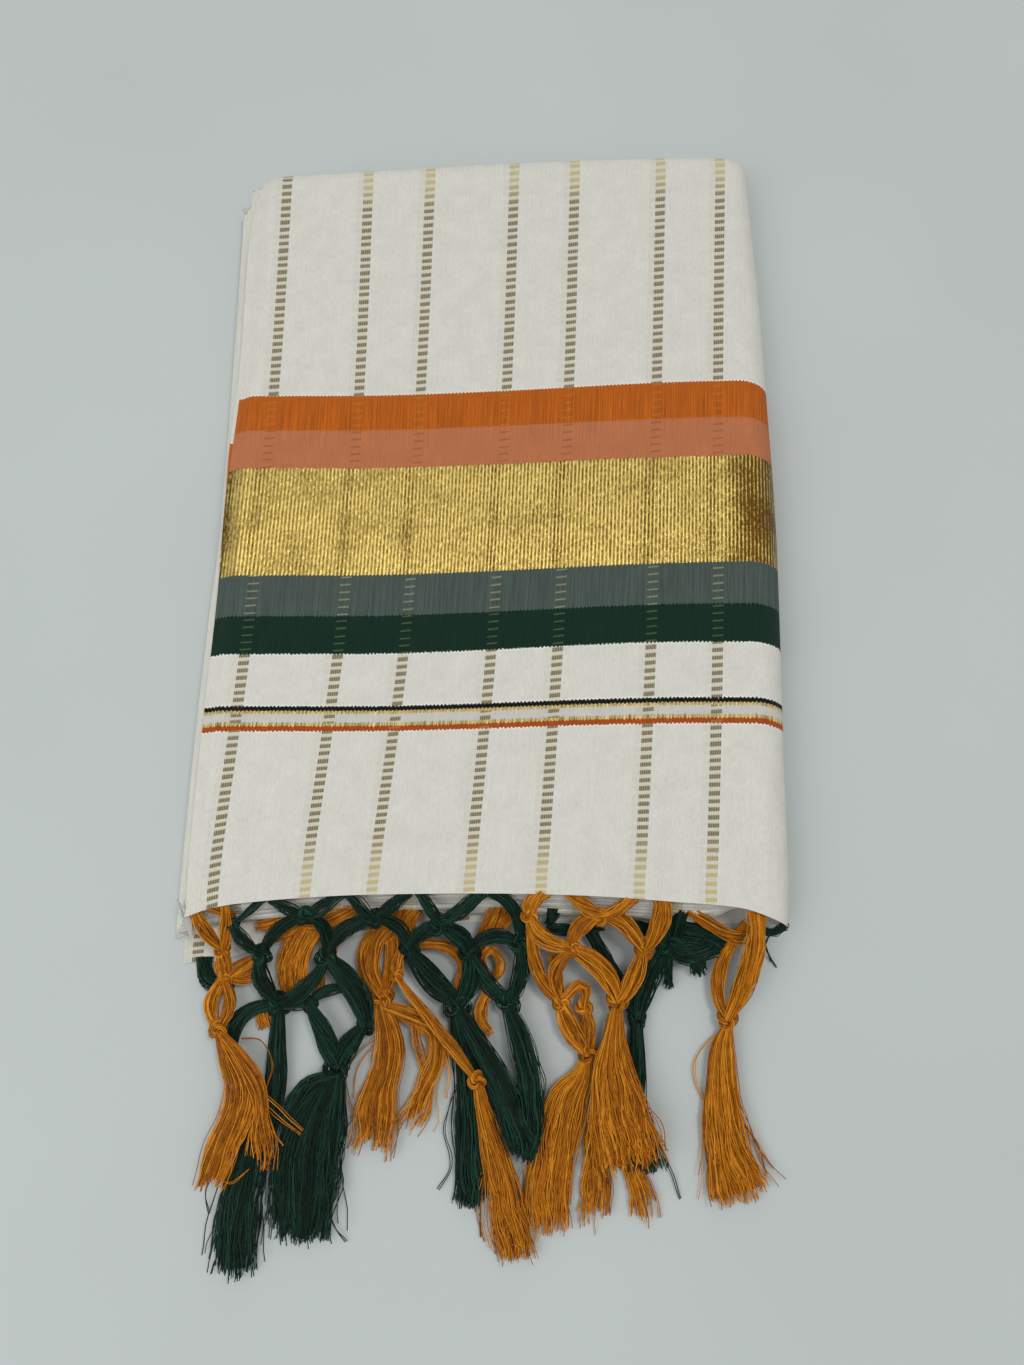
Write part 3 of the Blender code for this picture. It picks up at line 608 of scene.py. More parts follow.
@dataclass(frozen=True)
class DyedYarn:
    """Mercerised cotton yarn: dyed in the hank, so each thread has its own depth of colour, with a
    soft gloss along its length."""

    yarn: Yarn
    dark: str
    middle: str
    light: str
    roughness: float = 0.62
    gloss: float = 0.22
    sheen: float = 0.02
    sheen_roughness: float = 0.4
    mottle_per_m: float = 260.0
    mottle_share: float = 0.4

    def material(self) -> Material:
        """Builds the yarn's material, with a tone for each thread and a mottle along it."""
        material, add, shader = new_material(f"mercerised cotton yarn {self.yarn.name.lower()}")
        thread = add("NewGeometry", {}).outputs["Random Per Island"]
        place = add("TexCoord", {}).outputs["Object"]
        mottle = add("TexNoise", {"Scale": self.mottle_per_m, "Detail": 2.0, "Vector": place})
        tone = add("Math MULTIPLY", {0: thread, 1: 1.0 - self.mottle_share})
        both = add("Math MULTIPLY_ADD", {0: mottle, 1: self.mottle_share, 2: tone})
        ramp = add("ValToRGB", {0: both})
        stops = ramp.color_ramp.elements
        stops[0].position, stops[0].color = 0.1, srgb(self.dark)
        stops[1].position, stops[1].color = 0.9, srgb(self.light)
        stops.new(0.5).color = srgb(self.middle)
        feed(shader, {
            "Base Color": ramp, "Roughness": self.roughness, "Specular IOR Level": self.gloss,
            "Sheen Weight": self.sheen, "Sheen Roughness": self.sheen_roughness,
        })
        return material


@dataclass(frozen=True)
class PaleFloor:
    """A plain matte floor."""

    colour: str = "BFC4C1"
    roughness: float = 0.9
    clouds_per_m: float = 5.0

    def material(self) -> Material:
        """Builds the floor's material, with a faint unevenness of tone."""
        material, add, shader = new_material("matte painted floor")
        place = add("TexCoord", {}).outputs["Object"]
        cloud = add("TexNoise", {"Scale": self.clouds_per_m, "Detail": 2.0, "Vector": place})
        tone = add("MapRange", {0: cloud, 1: 0.3, 2: 0.7, 3: 0.97, 4: 1.02})
        toned = {"data_type": "RGBA", "blend_type": "MULTIPLY", "Factor": 1.0}
        colour = add("Mix", {**toned, "A": srgb(self.colour), "B": tone})
        feed(shader, {"Base Color": colour, "Roughness": self.roughness})
        return material


@dataclass(frozen=True)
class PacketShape:
    """The outline of the folded packet and the height of its cloth, in millimetres."""

    thickness: float = 28.0
    side_roll: float = 16.0
    far_roll: float = 10.0
    far_bulge: float = 6.5
    wrap_end: float = math.radians(165.0)
    selvedge_sag: float = 4.2
    selvedge_reach: float = 10.0
    hem_sag: float = 3.0
    hem_reach: float = 30.0
    middle: float = 15.0
    swell: float = 0.35
    swell_across: float = 55.0
    swell_along: float = 80.0
    swell_level: float = 0.4
    swell_seed: float = 1.0
    stripe_dip: float = 0.22
    stripe_dip_width: float = 4.0
    rise_from: float = -75.0
    rise_width: float = 180.0
    rise_spread: float = 50.0
    rise_lead: float = 0.2
    spreads_from: float = -90.0
    spreads_over: float = 60.0
    flare_length: float = 70.0
    crease: float = 2.6
    crease_width: float = 2.2
    crease_growth: float = 3.0
    crease_start: float = 1.8
    left_edge: tuple[SidePoint, ...] = (
        SidePoint(-214, -147.5), SidePoint(-116, -145.5), SidePoint(-42, -143.2), SidePoint(14, -142.8),
        SidePoint(67, -139.8), SidePoint(102, -138.8), SidePoint(178, -138.8), SidePoint(205, -135.0),
    )
    right_side: tuple[SidePoint, ...] = (
        SidePoint(-218, 142.8), SidePoint(-188, 144.8), SidePoint(-121, 147.0), SidePoint(-51, 149.7),
        SidePoint(0, 151.1), SidePoint(67, 150.8), SidePoint(120, 150.6), SidePoint(220, 148.0),
    )
    far_end: tuple[EndPoint, ...] = (
        EndPoint(-150, 198.5), EndPoint(-120, 201.3), EndPoint(-73, 204.7), EndPoint(11, 210.3),
        EndPoint(96, 213.7), EndPoint(150, 213.7),
    )
    hem_line: tuple[EndPoint, ...] = (
        EndPoint(-150, -217.5), EndPoint(-145, -215.8), EndPoint(-135, -212.9), EndPoint(-123, -210.6),
        EndPoint(-89, -207.6), EndPoint(-57, -206.2), EndPoint(4, -205.7), EndPoint(51, -207.0),
        EndPoint(87, -209.6), EndPoint(119, -212.5), EndPoint(135, -217.7), EndPoint(150, -224.0),
    )

    def left(self, along: float) -> float:
        """Where the top's left selvedge lies."""
        return read_curve(self.left_edge, along)

    def hem(self, across: float) -> float:
        """Where the top's hem lies."""
        return read_curve(self.hem_line, across)

    def woven_place(self, x: float, y: float) -> tuple[float, float]:
        """Finds a place of the top in the flat weave.

        Args:
            x: The place across the packet.
            y: The place along the packet.

        Returns:
            The distance from the left selvedge and the distance from the hem, in the weave.
        """
        rows = [
            (read_curve(tuple(zip(STRIPE_STATIONS, stripe[1:])), y), stripe.woven) for stripe in STRIPES
        ]
        if x <= rows[0][0]:
            across = rows[0][1] + (x - rows[0][0])
        elif x >= rows[-1][0]:
            across = rows[-1][1] + (x - rows[-1][0])
        else:
            index = max(i for i, row in enumerate(rows) if row[0] <= x)
            (low, start), (high, end) = rows[index], rows[index + 1]
            across = start + (end - start) * (x - low) / (high - low)
        # The wefts climb to the right, over a wider stretch past the thin lines than before them
        spread = self.rise_spread * soft_step((y - self.spreads_from) / self.spreads_over)
        risen = soft_step((x - self.rise_from + self.rise_lead * spread) / (self.rise_width + spread))
        lines = [(self.hem(x), 0.0)] + [(weft.along + weft.rise * risen, weft.woven) for weft in WEFTS]
        index = max([i for i, line in enumerate(lines[:-1]) if line[0] <= y] or [0])
        (low, start), (high, end) = lines[index], lines[index + 1]
        return across, start + (end - start) * (y - low) / (high - low)

    def height(self, x: float, y: float) -> float:
        """The height of the top's upper face: it sags at the selvedge and the hem, dips at each zari
        stripe and swells a little between them."""
        from_left = (x - self.left(y)) / self.selvedge_reach
        from_hem = (y - self.hem(x)) / self.hem_reach
        level = self.thickness - self.selvedge_sag * (1.0 - soft_step(from_left))
        level -= self.hem_sag * (1.0 - soft_step(from_hem))
        across = (self.woven_place(x, y)[0] - FIRST_STRIPE) % STRIPE_REPEAT
        nearest = min(abs(across), abs(across - STRIPE_PAIR), abs(across - STRIPE_REPEAT))
        level -= self.stripe_dip * math.exp(-((nearest / self.stripe_dip_width) ** 2))
        wave = wander(self.swell_seed, x / self.swell_across, y / self.swell_along)
        return level + self.swell * (wave - self.swell_level)

    def top_point(self, s: float, t: float, drop: float = 0.0) -> Vector:
        """A place on the flat of the top.

        Args:
            s: The share across it, from the left selvedge to where the right roll starts.
            t: The share along it, from the hem to where the far roll starts.
            drop: How far the wanted face lies under the top's upper face.

        Returns:
            The place.
        """
        near_middle, far_middle = self.hem(self.middle), read_curve(self.far_end, self.middle)
        along = near_middle + (far_middle - near_middle) * t
        left = self.left(along)
        right = read_curve(self.right_side, along) - self.side_roll
        x = left + (right - left) * s
        near = self.hem(x)
        far = read_curve(self.far_end, x) + self.far_bulge - self.far_roll
        y = near + (far - near) * t
        return Vector((x, y, self.height(x, y) - drop))

    def rolled_point(self, start: Vector, facing: float, turn: float, inset: float) -> Vector:
        """A place on the rolled side.

        Args:
            start: Where the top turns down.
            facing: The way the roll faces, 0 for right and a quarter turn for far.
            turn: How far round the roll the place is, as an angle.
            inset: How far it lies inside the outer face.

        Returns:
            The place.
        """
        half = start.z / 2.0
        reach = math.sin(min(turn, math.pi))
        x = start.x + math.cos(facing) * (self.side_roll - inset) * reach
        y = start.y + math.sin(facing) * (self.far_roll - inset) * reach
        z = half + (half - inset) * math.cos(turn)
        flare = self.hem(x) - self.hem(start.x)
        y += flare * (1.0 - soft_step((start.y - self.hem(start.x)) / self.flare_length))
        # The far end is two halves of the stack, folded onto each other, with a crease between them
        crease = self.crease * math.exp(-(((z - half) / self.crease_width) ** 2))
        crease *= soft_step(math.sin(facing) * self.crease_growth - self.crease_start)
        return Vector((x, y - crease, z))


def deselect_all() -> None:
    """Deselects every object, since an operator acts on all that is selected."""
    bpy.ops.object.select_all(action="DESELECT")


def make_active(item: Object) -> None:
    """Selects one object alone and makes it the active one."""
    deselect_all()
    item.select_set(True)
    bpy.context.view_layer.objects.active = item


def apply_modifier(item: Object, name: str, kind: str, **settings: object) -> None:
    """Adds a modifier to an object, sets it and applies it."""
    make_active(item)
    modifier = item.modifiers.new(name, kind)
    for key, value in settings.items():
        setattr(modifier, key, value)
    bpy.ops.object.modifier_apply(modifier=modifier.name)


def lay_cloth(
    name: str,
    columns: int,
    rows: int,
    place: Callable[[int, int], Laid],
    wall: float,
    wall_offset: float = -1.0,
) -> Object:
    """Lays a flat grid of cloth into its folded place and gives it its thickness.

    Args:
        name: The piece's name.
        columns: How many faces the cloth has across.
        rows: How many faces it has along.
        place: Gives a grid corner's place and its place in the weave, both in millimetres.
        wall: The cloth's thickness in millimetres.
        wall_offset: Where the wall lies: -1 below the face that is laid, 0 on both sides of it.

    Returns:
        The cloth's object, with its weave map.
    """
    deselect_all()
    bpy.ops.mesh.primitive_grid_add(x_subdivisions=columns, y_subdivisions=rows, size=2.0)
    item = bpy.context.active_object
    item.name = item.data.name = name
    woven = []
    for vertex in item.data.vertices:
        column = round((vertex.co.x + 1.0) / 2.0 * columns)
        row = round((vertex.co.y + 1.0) / 2.0 * rows)
        point, (across, along) = place(column, row)
        vertex.co = point * MM
        woven.append((across * MM, along * MM))
    weave = item.data.uv_layers[0]
    weave.name = WEAVE_MAP
    for loop in item.data.loops:
        weave.data[loop.index].uv = woven[loop.vertex_index]
    apply_modifier(item, "wall", "SOLIDIFY", thickness=wall * MM, offset=wall_offset, use_even_offset=True)
    return item


def dress(
    item: Object, material: Material, replaced: Sequence[str],
    smooth_to: float = 50.0,
) -> Object:
    """Gives a piece its material, smooth shading up to an angle in degrees and its body, and hides the
    nodes that it replaces."""
    item.data.materials.clear()
    item.data.materials.append(material)
    make_active(item)
    bpy.ops.object.shade_smooth_by_angle(angle=math.radians(smooth_to))
    deselect_all()
    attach(item, ROOT_BODY)
    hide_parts(*replaced)
    log.info("%s: %d faces", item.name, len(item.data.polygons))
    return item


@dataclass
class OuterPly:
    """The pallu's outer ply: the top of the packet, rolled down over its right side and far end."""

    shape: PacketShape
    cloth: Material
    wall: float = 0.6
    top_columns: int = 102
    top_rows: int = 138
    roll_steps: int = 16
    side_length: float = 43.0
    far_length: float = 36.0
    side_slant: float = 5.5

    def place(self, column: int, row: int) -> Laid:
        """A grid corner's place in the packet and in the weave."""
        over_side = max(column - self.top_columns, 0) / self.roll_steps
        over_far = max(row - self.top_rows, 0) / self.roll_steps
        s = min(column / self.top_columns, 1.0)
        t = min(row / self.top_rows, 1.0)
        start = self.shape.top_point(s, t)
        across, along = self.shape.woven_place(start.x, start.y)
        turn_share = max(over_side, over_far)
        if turn_share == 0.0:
            return start, (across, along)
        if over_side >= over_far:
            facing = math.pi / 4.0 * over_far / over_side
        else:
            facing = math.pi / 2.0 - math.pi / 4.0 * over_side / over_far
        point = self.shape.rolled_point(start, facing, turn_share * self.shape.wrap_end, 0.0)
        sideways, onwards = turn_share * math.cos(facing), turn_share * math.sin(facing)
        across += self.side_length * sideways
        along += self.far_length * onwards + self.side_slant * sideways
        return point, (across, along)

    def build(self) -> Object:
        """Builds the ply and returns it."""
        columns = self.top_columns + self.roll_steps
        rows = self.top_rows + self.roll_steps
        item = lay_cloth("pallu_ply_outer", columns, rows, self.place, self.wall)
        dress(item, self.cloth, ["pallu_outer_ply"])
        return item


@dataclass
class SecondPly:
    """The pallu's second ply, seen as a sliver at the left and as a line under the hem."""

    shape: PacketShape
    cloth: Material
    drop: float = 0.9
    wall: float = 0.6
    columns: int = 60
    rows: int = 80
    hem_inset: float = 0.003
    overhang: float = 2.0
    overhang_from: float = 200.0
    overhang_over: float = 45.0
    overhang_fade: int = 6
    shift_left: float = 3.0
    shift_along: float = 26.0

    def place(self, column: int, row: int) -> Laid:
        """A grid corner's place in the packet and in the weave."""
        s, t = column / self.columns, self.hem_inset + (1.0 - self.hem_inset) * row / self.rows
        point = self.shape.top_point(s, t, self.drop)
        across, along = self.shape.woven_place(point.x, point.y)
        reach = self.overhang * soft_step((along - self.overhang_from) / self.overhang_over)
        reach *= (1.0 - s) ** self.overhang_fade
        point.x -= reach
        point.z = self.shape.height(point.x, point.y) - self.drop
        return point, (across - reach - self.shift_left, along + self.shift_along)

    def build(self) -> Object:
        """Builds the ply and returns it."""
        item = lay_cloth("pallu_ply_second", self.columns, self.rows, self.place, self.wall)
        dress(item, self.cloth, ["pallu_second_ply"])
        return item


@dataclass
class FoldedPlies:
    """The saree's hidden plies: doubled cloth, laid back and forth in a zigzag, with round folds at
    the near side, loops at the lower left and selvedges at the upper left."""

    shape: PacketShape
    cloth: Material
    layers: int = 28
    wall: float = 0.64
    bottom: float = 1.35
    under_top: float = 2.1
    columns: int = 34
    layer_rows: int = 9
    turn_rows: int = 3
    panel_length: float = 412.0
    selvedge: float = -139.0
    hidden_weft: float = 1000.0
    peach_weft: float = 234.0
    peach_from: float = -79.0
    peach_to: float = -62.0
    peach_above: float = 8.0
    peach_below: float = 16.0
    peach_reach: float = 0.03
    side_inset: float = 2.4
    far_inset: float = 2.6
    roll_inset: float = 1.5
    upper_inset: float = 0.4
    near_inset: float = 0.4
    near_ragged: float = 1.6
    near_wave: float = 60.0
    near_seed: float = 3.0
    left_ragged: float = 1.5
    left_wave: float = 70.0
    left_seed: float = 40.0
    tuck: float = 0.9
    tuck_every: int = 4
    row_crowding: float = 1.6
    column_crowding: float = 1.25
    straight_from: float = 100.0
    straight_over: float = 25.0
    straight_inset: float = 3.0
    short_corner: float = 13.0
    short_below: float = 0.62
    short_from: float = -137.0
    short_over: float = 9.0
    lower_left_side: tuple[SidePoint, ...] = (
        SidePoint(-214, -155.0), SidePoint(-132, -153.6), SidePoint(-34, -150.0), SidePoint(42, -148.5),
        SidePoint(112, -149.2), SidePoint(187, -149.8), SidePoint(212, -147.0),
    )
    near_profile: tuple[ProfilePoint, ...] = (
        ProfilePoint(0.0, -4.0), ProfilePoint(0.12, -7.5), ProfilePoint(0.4, -7.5),
        ProfilePoint(0.55, -5.5), ProfilePoint(0.7, -2.8), ProfilePoint(0.85, -0.2),
        ProfilePoint(1.0, 1.5),
    )
    left_profile: tuple[ProfilePoint, ...] = (
        ProfilePoint(0.0, 4.0), ProfilePoint(0.1, 1.0), ProfilePoint(0.3, 0.0), ProfilePoint(0.5, 1.6),
    )

    def left(self, share: float, along: float) -> float:
        """Where a layer's left side lies, at a share of the stack's height."""
        lower = read_curve(self.lower_left_side, along)
        last = self.left_profile[-1]
        if share <= last.share:
            return lower + read_curve(self.left_profile, share)
        climb = (share - last.share) / (1.0 - last.share)
        start = lower + last.inset
        return start + (self.shape.left(along) + self.upper_inset - start) * climb

    def layer_point(self, layer: float, s: float, t: float) -> Vector:
        """A place on a layer: s across it, and t along it from its near fold to its far end."""
        shape = self.shape
        share, pair = layer / (self.layers - 1.0), math.floor(layer / 2.0)
        lift = min(max(2.0 * share - 1.0, -1.0), 1.0)
        bulge = math.sqrt(1.0 - lift * lift)
        left_middle = self.left(share, 0.0)
        rolled = (shape.side_roll - self.side_inset) * bulge - shape.side_roll
        right_middle = shape.right_side[0].across + rolled
        across_middle = left_middle + (right_middle - left_middle) * s
        fade = 1.0 - soft_step((across_middle - self.straight_from) / self.straight_over)
        near = shape.hem(across_middle) + read_curve(self.near_profile, share) * fade
        near += self.straight_inset * (1.0 - fade)
        wave = wander(self.near_seed + pair, across_middle / self.near_wave)
        near += wave * self.near_ragged + self.near_inset
        far = read_curve(shape.far_end, across_middle) + shape.far_bulge - self.far_inset
        far -= shape.far_roll * (1.0 - bulge)
        if share < self.short_below:
            far -= self.short_corner * soft_step((self.short_from - across_middle) / self.short_over)
        y = near + (far - near) * t
        tucked = self.tuck if round(layer) % self.tuck_every == self.tuck_every // 2 else 0.0
        wave = wander(self.left_seed + layer, y / self.left_wave)
        left = self.left(share, y) + tucked + wave * self.left_ragged
        right = read_curve(shape.right_side, y) + rolled
        x = left + (right - left) * s
        corner = shape.top_point(1.0, 1.0)
        reach_x = max(x - corner.x, 0.0) / (shape.side_roll - self.roll_inset)
        reach_y = max(y - corner.y, 0.0) / (shape.far_roll - self.roll_inset)
        beyond = math.hypot(reach_x, reach_y)
        if reach_x > 0.0 and reach_y > 0.0 and beyond > bulge:
            x = corner.x + (x - corner.x) * bulge / beyond
            y = corner.y + (y - corner.y) * bulge / beyond
        top = shape.height(x, y) - self.under_top - self.wall / 2.0
        return Vector((x, y, self.bottom + (top - self.bottom) * share))

    def path(self) -> list[tuple[float, float, float]]:
        """The zigzag seen from the side: rows of layer, share along and how far out a fold bulges."""
        rows = []
        for layer in range(self.layers):
            steps = range(self.layer_rows + 1)
            shares = [(step / self.layer_rows) ** self.row_crowding for step in steps]
            forward = layer % 2 == 1
            for share in shares if forward else reversed(shares):
                rows.append((float(layer), share, 0.0))
            if layer == self.layers - 1:
                break
            for step in range(1, self.turn_rows + 1):
                part = step / (self.turn_rows + 1.0)
                rows.append((layer + part, 1.0 if forward else 0.0, math.sin(math.pi * part)))
        return rows

    def build(self) -> Object:
        """Builds the stack and returns it."""
        rows = self.path()
        pitch = (self.shape.thickness - self.under_top - self.bottom) / (self.layers - 1.0)

        def place(column: int, row: int) -> Laid:
            """A grid corner's place in the packet and in the weave."""
            layer, share, bulge = rows[row]
            s = (column / self.columns) ** self.column_crowding
            point = self.layer_point(layer, s, share)
            point.y += bulge * pitch / 2.0 * (1.0 if share > 0.5 else -1.0)
            along = self.hidden_weft + self.panel_length * (layer + share)
            peach_layer = self.peach_above < layer < self.peach_below and share < self.peach_reach
            if peach_layer and self.peach_from < point.x < self.peach_to:
                along = self.peach_weft
            return point, (point.x - self.selvedge, along)

        item = lay_cloth("folded_plies", self.columns, len(rows) - 1, place, self.wall, 0.0)
        dress(item, self.cloth, ["folded_core"])
        return item


@dataclass
class LowerPly:
    """The pallu's ply at the underside, which reaches past the stack at the near left."""

    shape: PacketShape
    stack: FoldedPlies
    cloth: Material
    wall: float = 0.6
    height: float = 0.75
    columns: int = 50
    rows: int = 50
    near_left: float = -152.6
    left_limit: float = -149.0
    left_flare: float = 3.6
    flare_over: float = 120.0
    selvedge: float = -160.0
    hem_turned: float = 32.0
    shown: float = 1.0
    near_station: float = -200.0
    ripple: float = 0.5
    ripple_before: float = -212.0
    ripple_across: float = 25.0
    ripple_along: float = 30.0
    ripple_level: float = 0.4
    ripple_seed: float = 9.0
    near_edge: tuple[EndPoint, ...] = (
        EndPoint(-153, -238.0), EndPoint(-133, -236.5), EndPoint(-112, -230.0), EndPoint(-62, -224.0),
        EndPoint(0, -218.0), EndPoint(120, -219.0),
    )

    def place(self, column: int, row: int) -> Laid:
        """A grid corner's place in the packet and in the weave."""
        s, t = column / self.columns, row / self.rows
        far = self.stack.layer_point(0.0, s, 1.0)
        near_x = read_curve(self.shape.right_side, self.near_station) - self.shape.side_roll
        near_x = self.near_left + (near_x - self.near_left) * s
        near_y = read_curve(self.near_edge, near_x)
        y = near_y + (far.y - near_y) * t
        flare = self.left_flare * (1.0 - soft_step((y - self.near_edge[0].along) / self.flare_over))
        left = min(self.stack.left(0.0, y) - self.shown, self.left_limit - flare)
        right = read_curve(self.shape.right_side, y) - self.shape.side_roll
        x = left + (right - left) * s
        wave = wander(self.ripple_seed, x / self.ripple_across, y / self.ripple_along)
        ripple = self.ripple * (wave + self.ripple_level) if y < self.ripple_before else 0.0
        woven = (x - self.selvedge, y - near_y + self.hem_turned)
        return Vector((x, y, self.height + max(ripple, 0.0))), woven

    def build(self) -> Object:
        """Builds the ply and returns it."""
        item = lay_cloth("pallu_ply_lower", self.columns, self.rows, self.place, self.wall)
        dress(item, self.cloth, ["pallu_lower_ply"])
        return item


class LockLine:
    """The middle line of a lock, read into close samples so that many threads can follow it."""

    def __init__(self, stations: Sequence[Station], samples: int = 60, spare: float = 1.15) -> None:
        """Samples the line.

        Args:
            stations: The lock's stations.
            samples: How many samples are kept.
            spare: How far past the last station the line runs on, as a share of its length.
        """
        lengths = [0.0]
        for low, high in zip(stations, stations[1:]):
            lengths.append(lengths[-1] + math.dist(low[:3], high[:3]))
        self.total = lengths[-1]
        self.spare = spare
        curves = [[(length, station[i]) for length, station in zip(lengths, stations)] for i in range(5)]
        last = Vector(stations[-1][:3])
        before = Vector([read_curve(curves[i], self.total - 1.0) for i in range(3)])
        points, self.sizes = [], []
        for index in range(samples + 1):
            length = index / samples * self.total * spare
            if length > self.total:
                points.append(last + (last - before) * (length - self.total))
            else:
                points.append(Vector([read_curve(curves[i], length) for i in range(3)]))
            self.sizes.append((read_curve(curves[3], length), read_curve(curves[4], length)))
        self.points = points
        self.sides, self.ups = [], []
        for index in range(samples + 1):
            run = (points[min(index + 1, samples)] - points[max(index - 1, 0)]).normalized()
            side = Vector((run.y, -run.x, 0.0)).normalized()
            self.sides.append(side)
            self.ups.append(side.cross(run))

    def at(self, share: float, a: float, b: float, shift: float) -> Vector:
        """A place beside the line: at a share of its length, a and b of the lock's half sizes away,
        and shifted sideways in millimetres."""
        place = min(max(share / self.spare, 0.0), 1.0) * (len(self.points) - 1)
        low = min(int(place), len(self.points) - 2)
        part = place - low
        wide = self.sizes[low][0] + (self.sizes[low + 1][0] - self.sizes[low][0]) * part
        high = self.sizes[low][1] + (self.sizes[low + 1][1] - self.sizes[low][1]) * part
        point = self.points[low].lerp(self.points[low + 1], part)
        side = self.sides[low].lerp(self.sides[low + 1], part)
        up = self.ups[low].lerp(self.ups[low + 1], part)
        return point + side * (a * wide + shift) + up * (b * high)


CLUMP_THREADS = 13
CLUMP_SPREAD = 0.8
CLUMP_SIZE = 1.25
CLUMP_TURN = 0.3
FEWEST_CLUMPS = 3
FEWEST_STEPS = 4
WAVE_SIZES = (0.4, 1.6)
WAVE_LENGTHS = (20.0, 38.0)
WAVE_TIED = 0.25
WAVE_LOOSE = 0.8
OWN_TURN = 2.2
GATHERING = 0.3
LEAN = 0.14
STRAGGLER_LEAN = 0.9
STRAGGLER_SHARE = 0.05
SHORTENING = 0.2
SHORT_SHARE = 0.12
DRIFT = 0.10
DRIFT_LENGTH = 14.0
DRIFT_SEED_STEP = 0.37
STRAIGHT_RADII = 2.4
CRIMP_LENGTH = 2.6
CRIMP_SIZES = (0.1, 0.55)
CRIMP_DEPTH = 0.6
THICKNESSES = (0.85, 1.15)
FLOOR_GAP = 0.1


def comb_threads(
    bundle: Lock, radius: float, spacing: float, seed: int, tied: bool, twist: float = 0.9
) -> list[Strand]:
    """Fills a lock with threads that run along its middle line in clumps.

    Args:
        bundle: The lock's stations and the number of its threads.
        radius: The thread's radius in millimetres.
        spacing: How far apart the points of a thread are.
        seed: Seeds the threads' own small departures.
        tied: Whether the threads all reach the last station, as they do at a knot.
        twist: How far the threads turn round the middle line, as an angle.

    Returns:
        The threads.
    """
    dice = random.Random(seed)
    line = LockLine(bundle.stations)
    steps = max(int(line.total / spacing), FEWEST_STEPS)
    clump_total = max(bundle.threads // CLUMP_THREADS, FEWEST_CLUMPS)
    clumps = []
    for index in range(clump_total):
        spread = math.sqrt((index + 0.5) / clump_total) * CLUMP_SPREAD
        angle = index * GOLDEN_ANGLE + dice.uniform(-CLUMP_TURN, CLUMP_TURN)
        clumps.append((
            spread, angle, dice.gauss(0.0, bundle.raggedness),
            dice.uniform(*WAVE_SIZES), dice.uniform(*WAVE_LENGTHS), dice.uniform(0.0, math.tau),
        ))
    strands = []
    for index in range(bundle.threads):
        spread, angle, reach_shift, wave_size, wave_length, wave_start = clumps[index % clump_total]
        own = math.sqrt(dice.random()) * CLUMP_SIZE / math.sqrt(clump_total)
        own_angle, own_turn = dice.uniform(0.0, math.tau), dice.uniform(-OWN_TURN, OWN_TURN)
        crimp, crimp_size = dice.uniform(0.0, math.tau), dice.uniform(*CRIMP_SIZES)
        reach, lean = 1.0, 0.0
        if not tied:
            reach += reach_shift + dice.gauss(0.0, bundle.raggedness * 0.5)
            reach -= SHORTENING * dice.random() if dice.random() < SHORT_SHARE else 0.0
            if dice.random() > STRAGGLER_SHARE:
                lean = dice.gauss(0.0, LEAN)
            else:
                lean = dice.uniform(-STRAGGLER_LEAN, STRAGGLER_LEAN)
        points = []
        for step in range(steps + 1):
            share = step / steps * reach
            length = share * line.total
            turn = angle + twist * share
            gather = 1.0 if tied else 1.0 - GATHERING * min(share, 1.0)
            own_way = own_angle + own_turn * share
            a = math.cos(turn) * spread + math.cos(own_way) * own * gather + lean * share**2
            b = math.sin(turn) * spread + math.sin(own_way) * own * gather
            if length > radius * STRAIGHT_RADII:
                a += wander(seed + index * DRIFT_SEED_STEP, length / DRIFT_LENGTH) * DRIFT
            ease = math.sin(math.pi * share) if tied else share
            shift = math.sin(length / CRIMP_LENGTH + crimp) * crimp_size * ease * CRIMP_DEPTH
            wave = math.sin(math.tau * length / wave_length + wave_start)
            shift += wave * wave_size * ease * (WAVE_TIED if tied else WAVE_LOOSE)
            point = line.at(share, a, b, shift)
            point.z = max(point.z, radius + FLOOR_GAP)
            points.append(point)
        strands.append(Strand(points, radius * dice.uniform(*THICKNESSES), False))
    return strands


KNOT_THREADS = 7
KNOT_POINTS = 34
KNOT_SPREAD = 0.62
KNOT_TILT = 0.35
KNOT_THICKNESS = 1.35
TREFOIL_SIZE = 2.5
TREFOIL_HEIGHT = 1.35


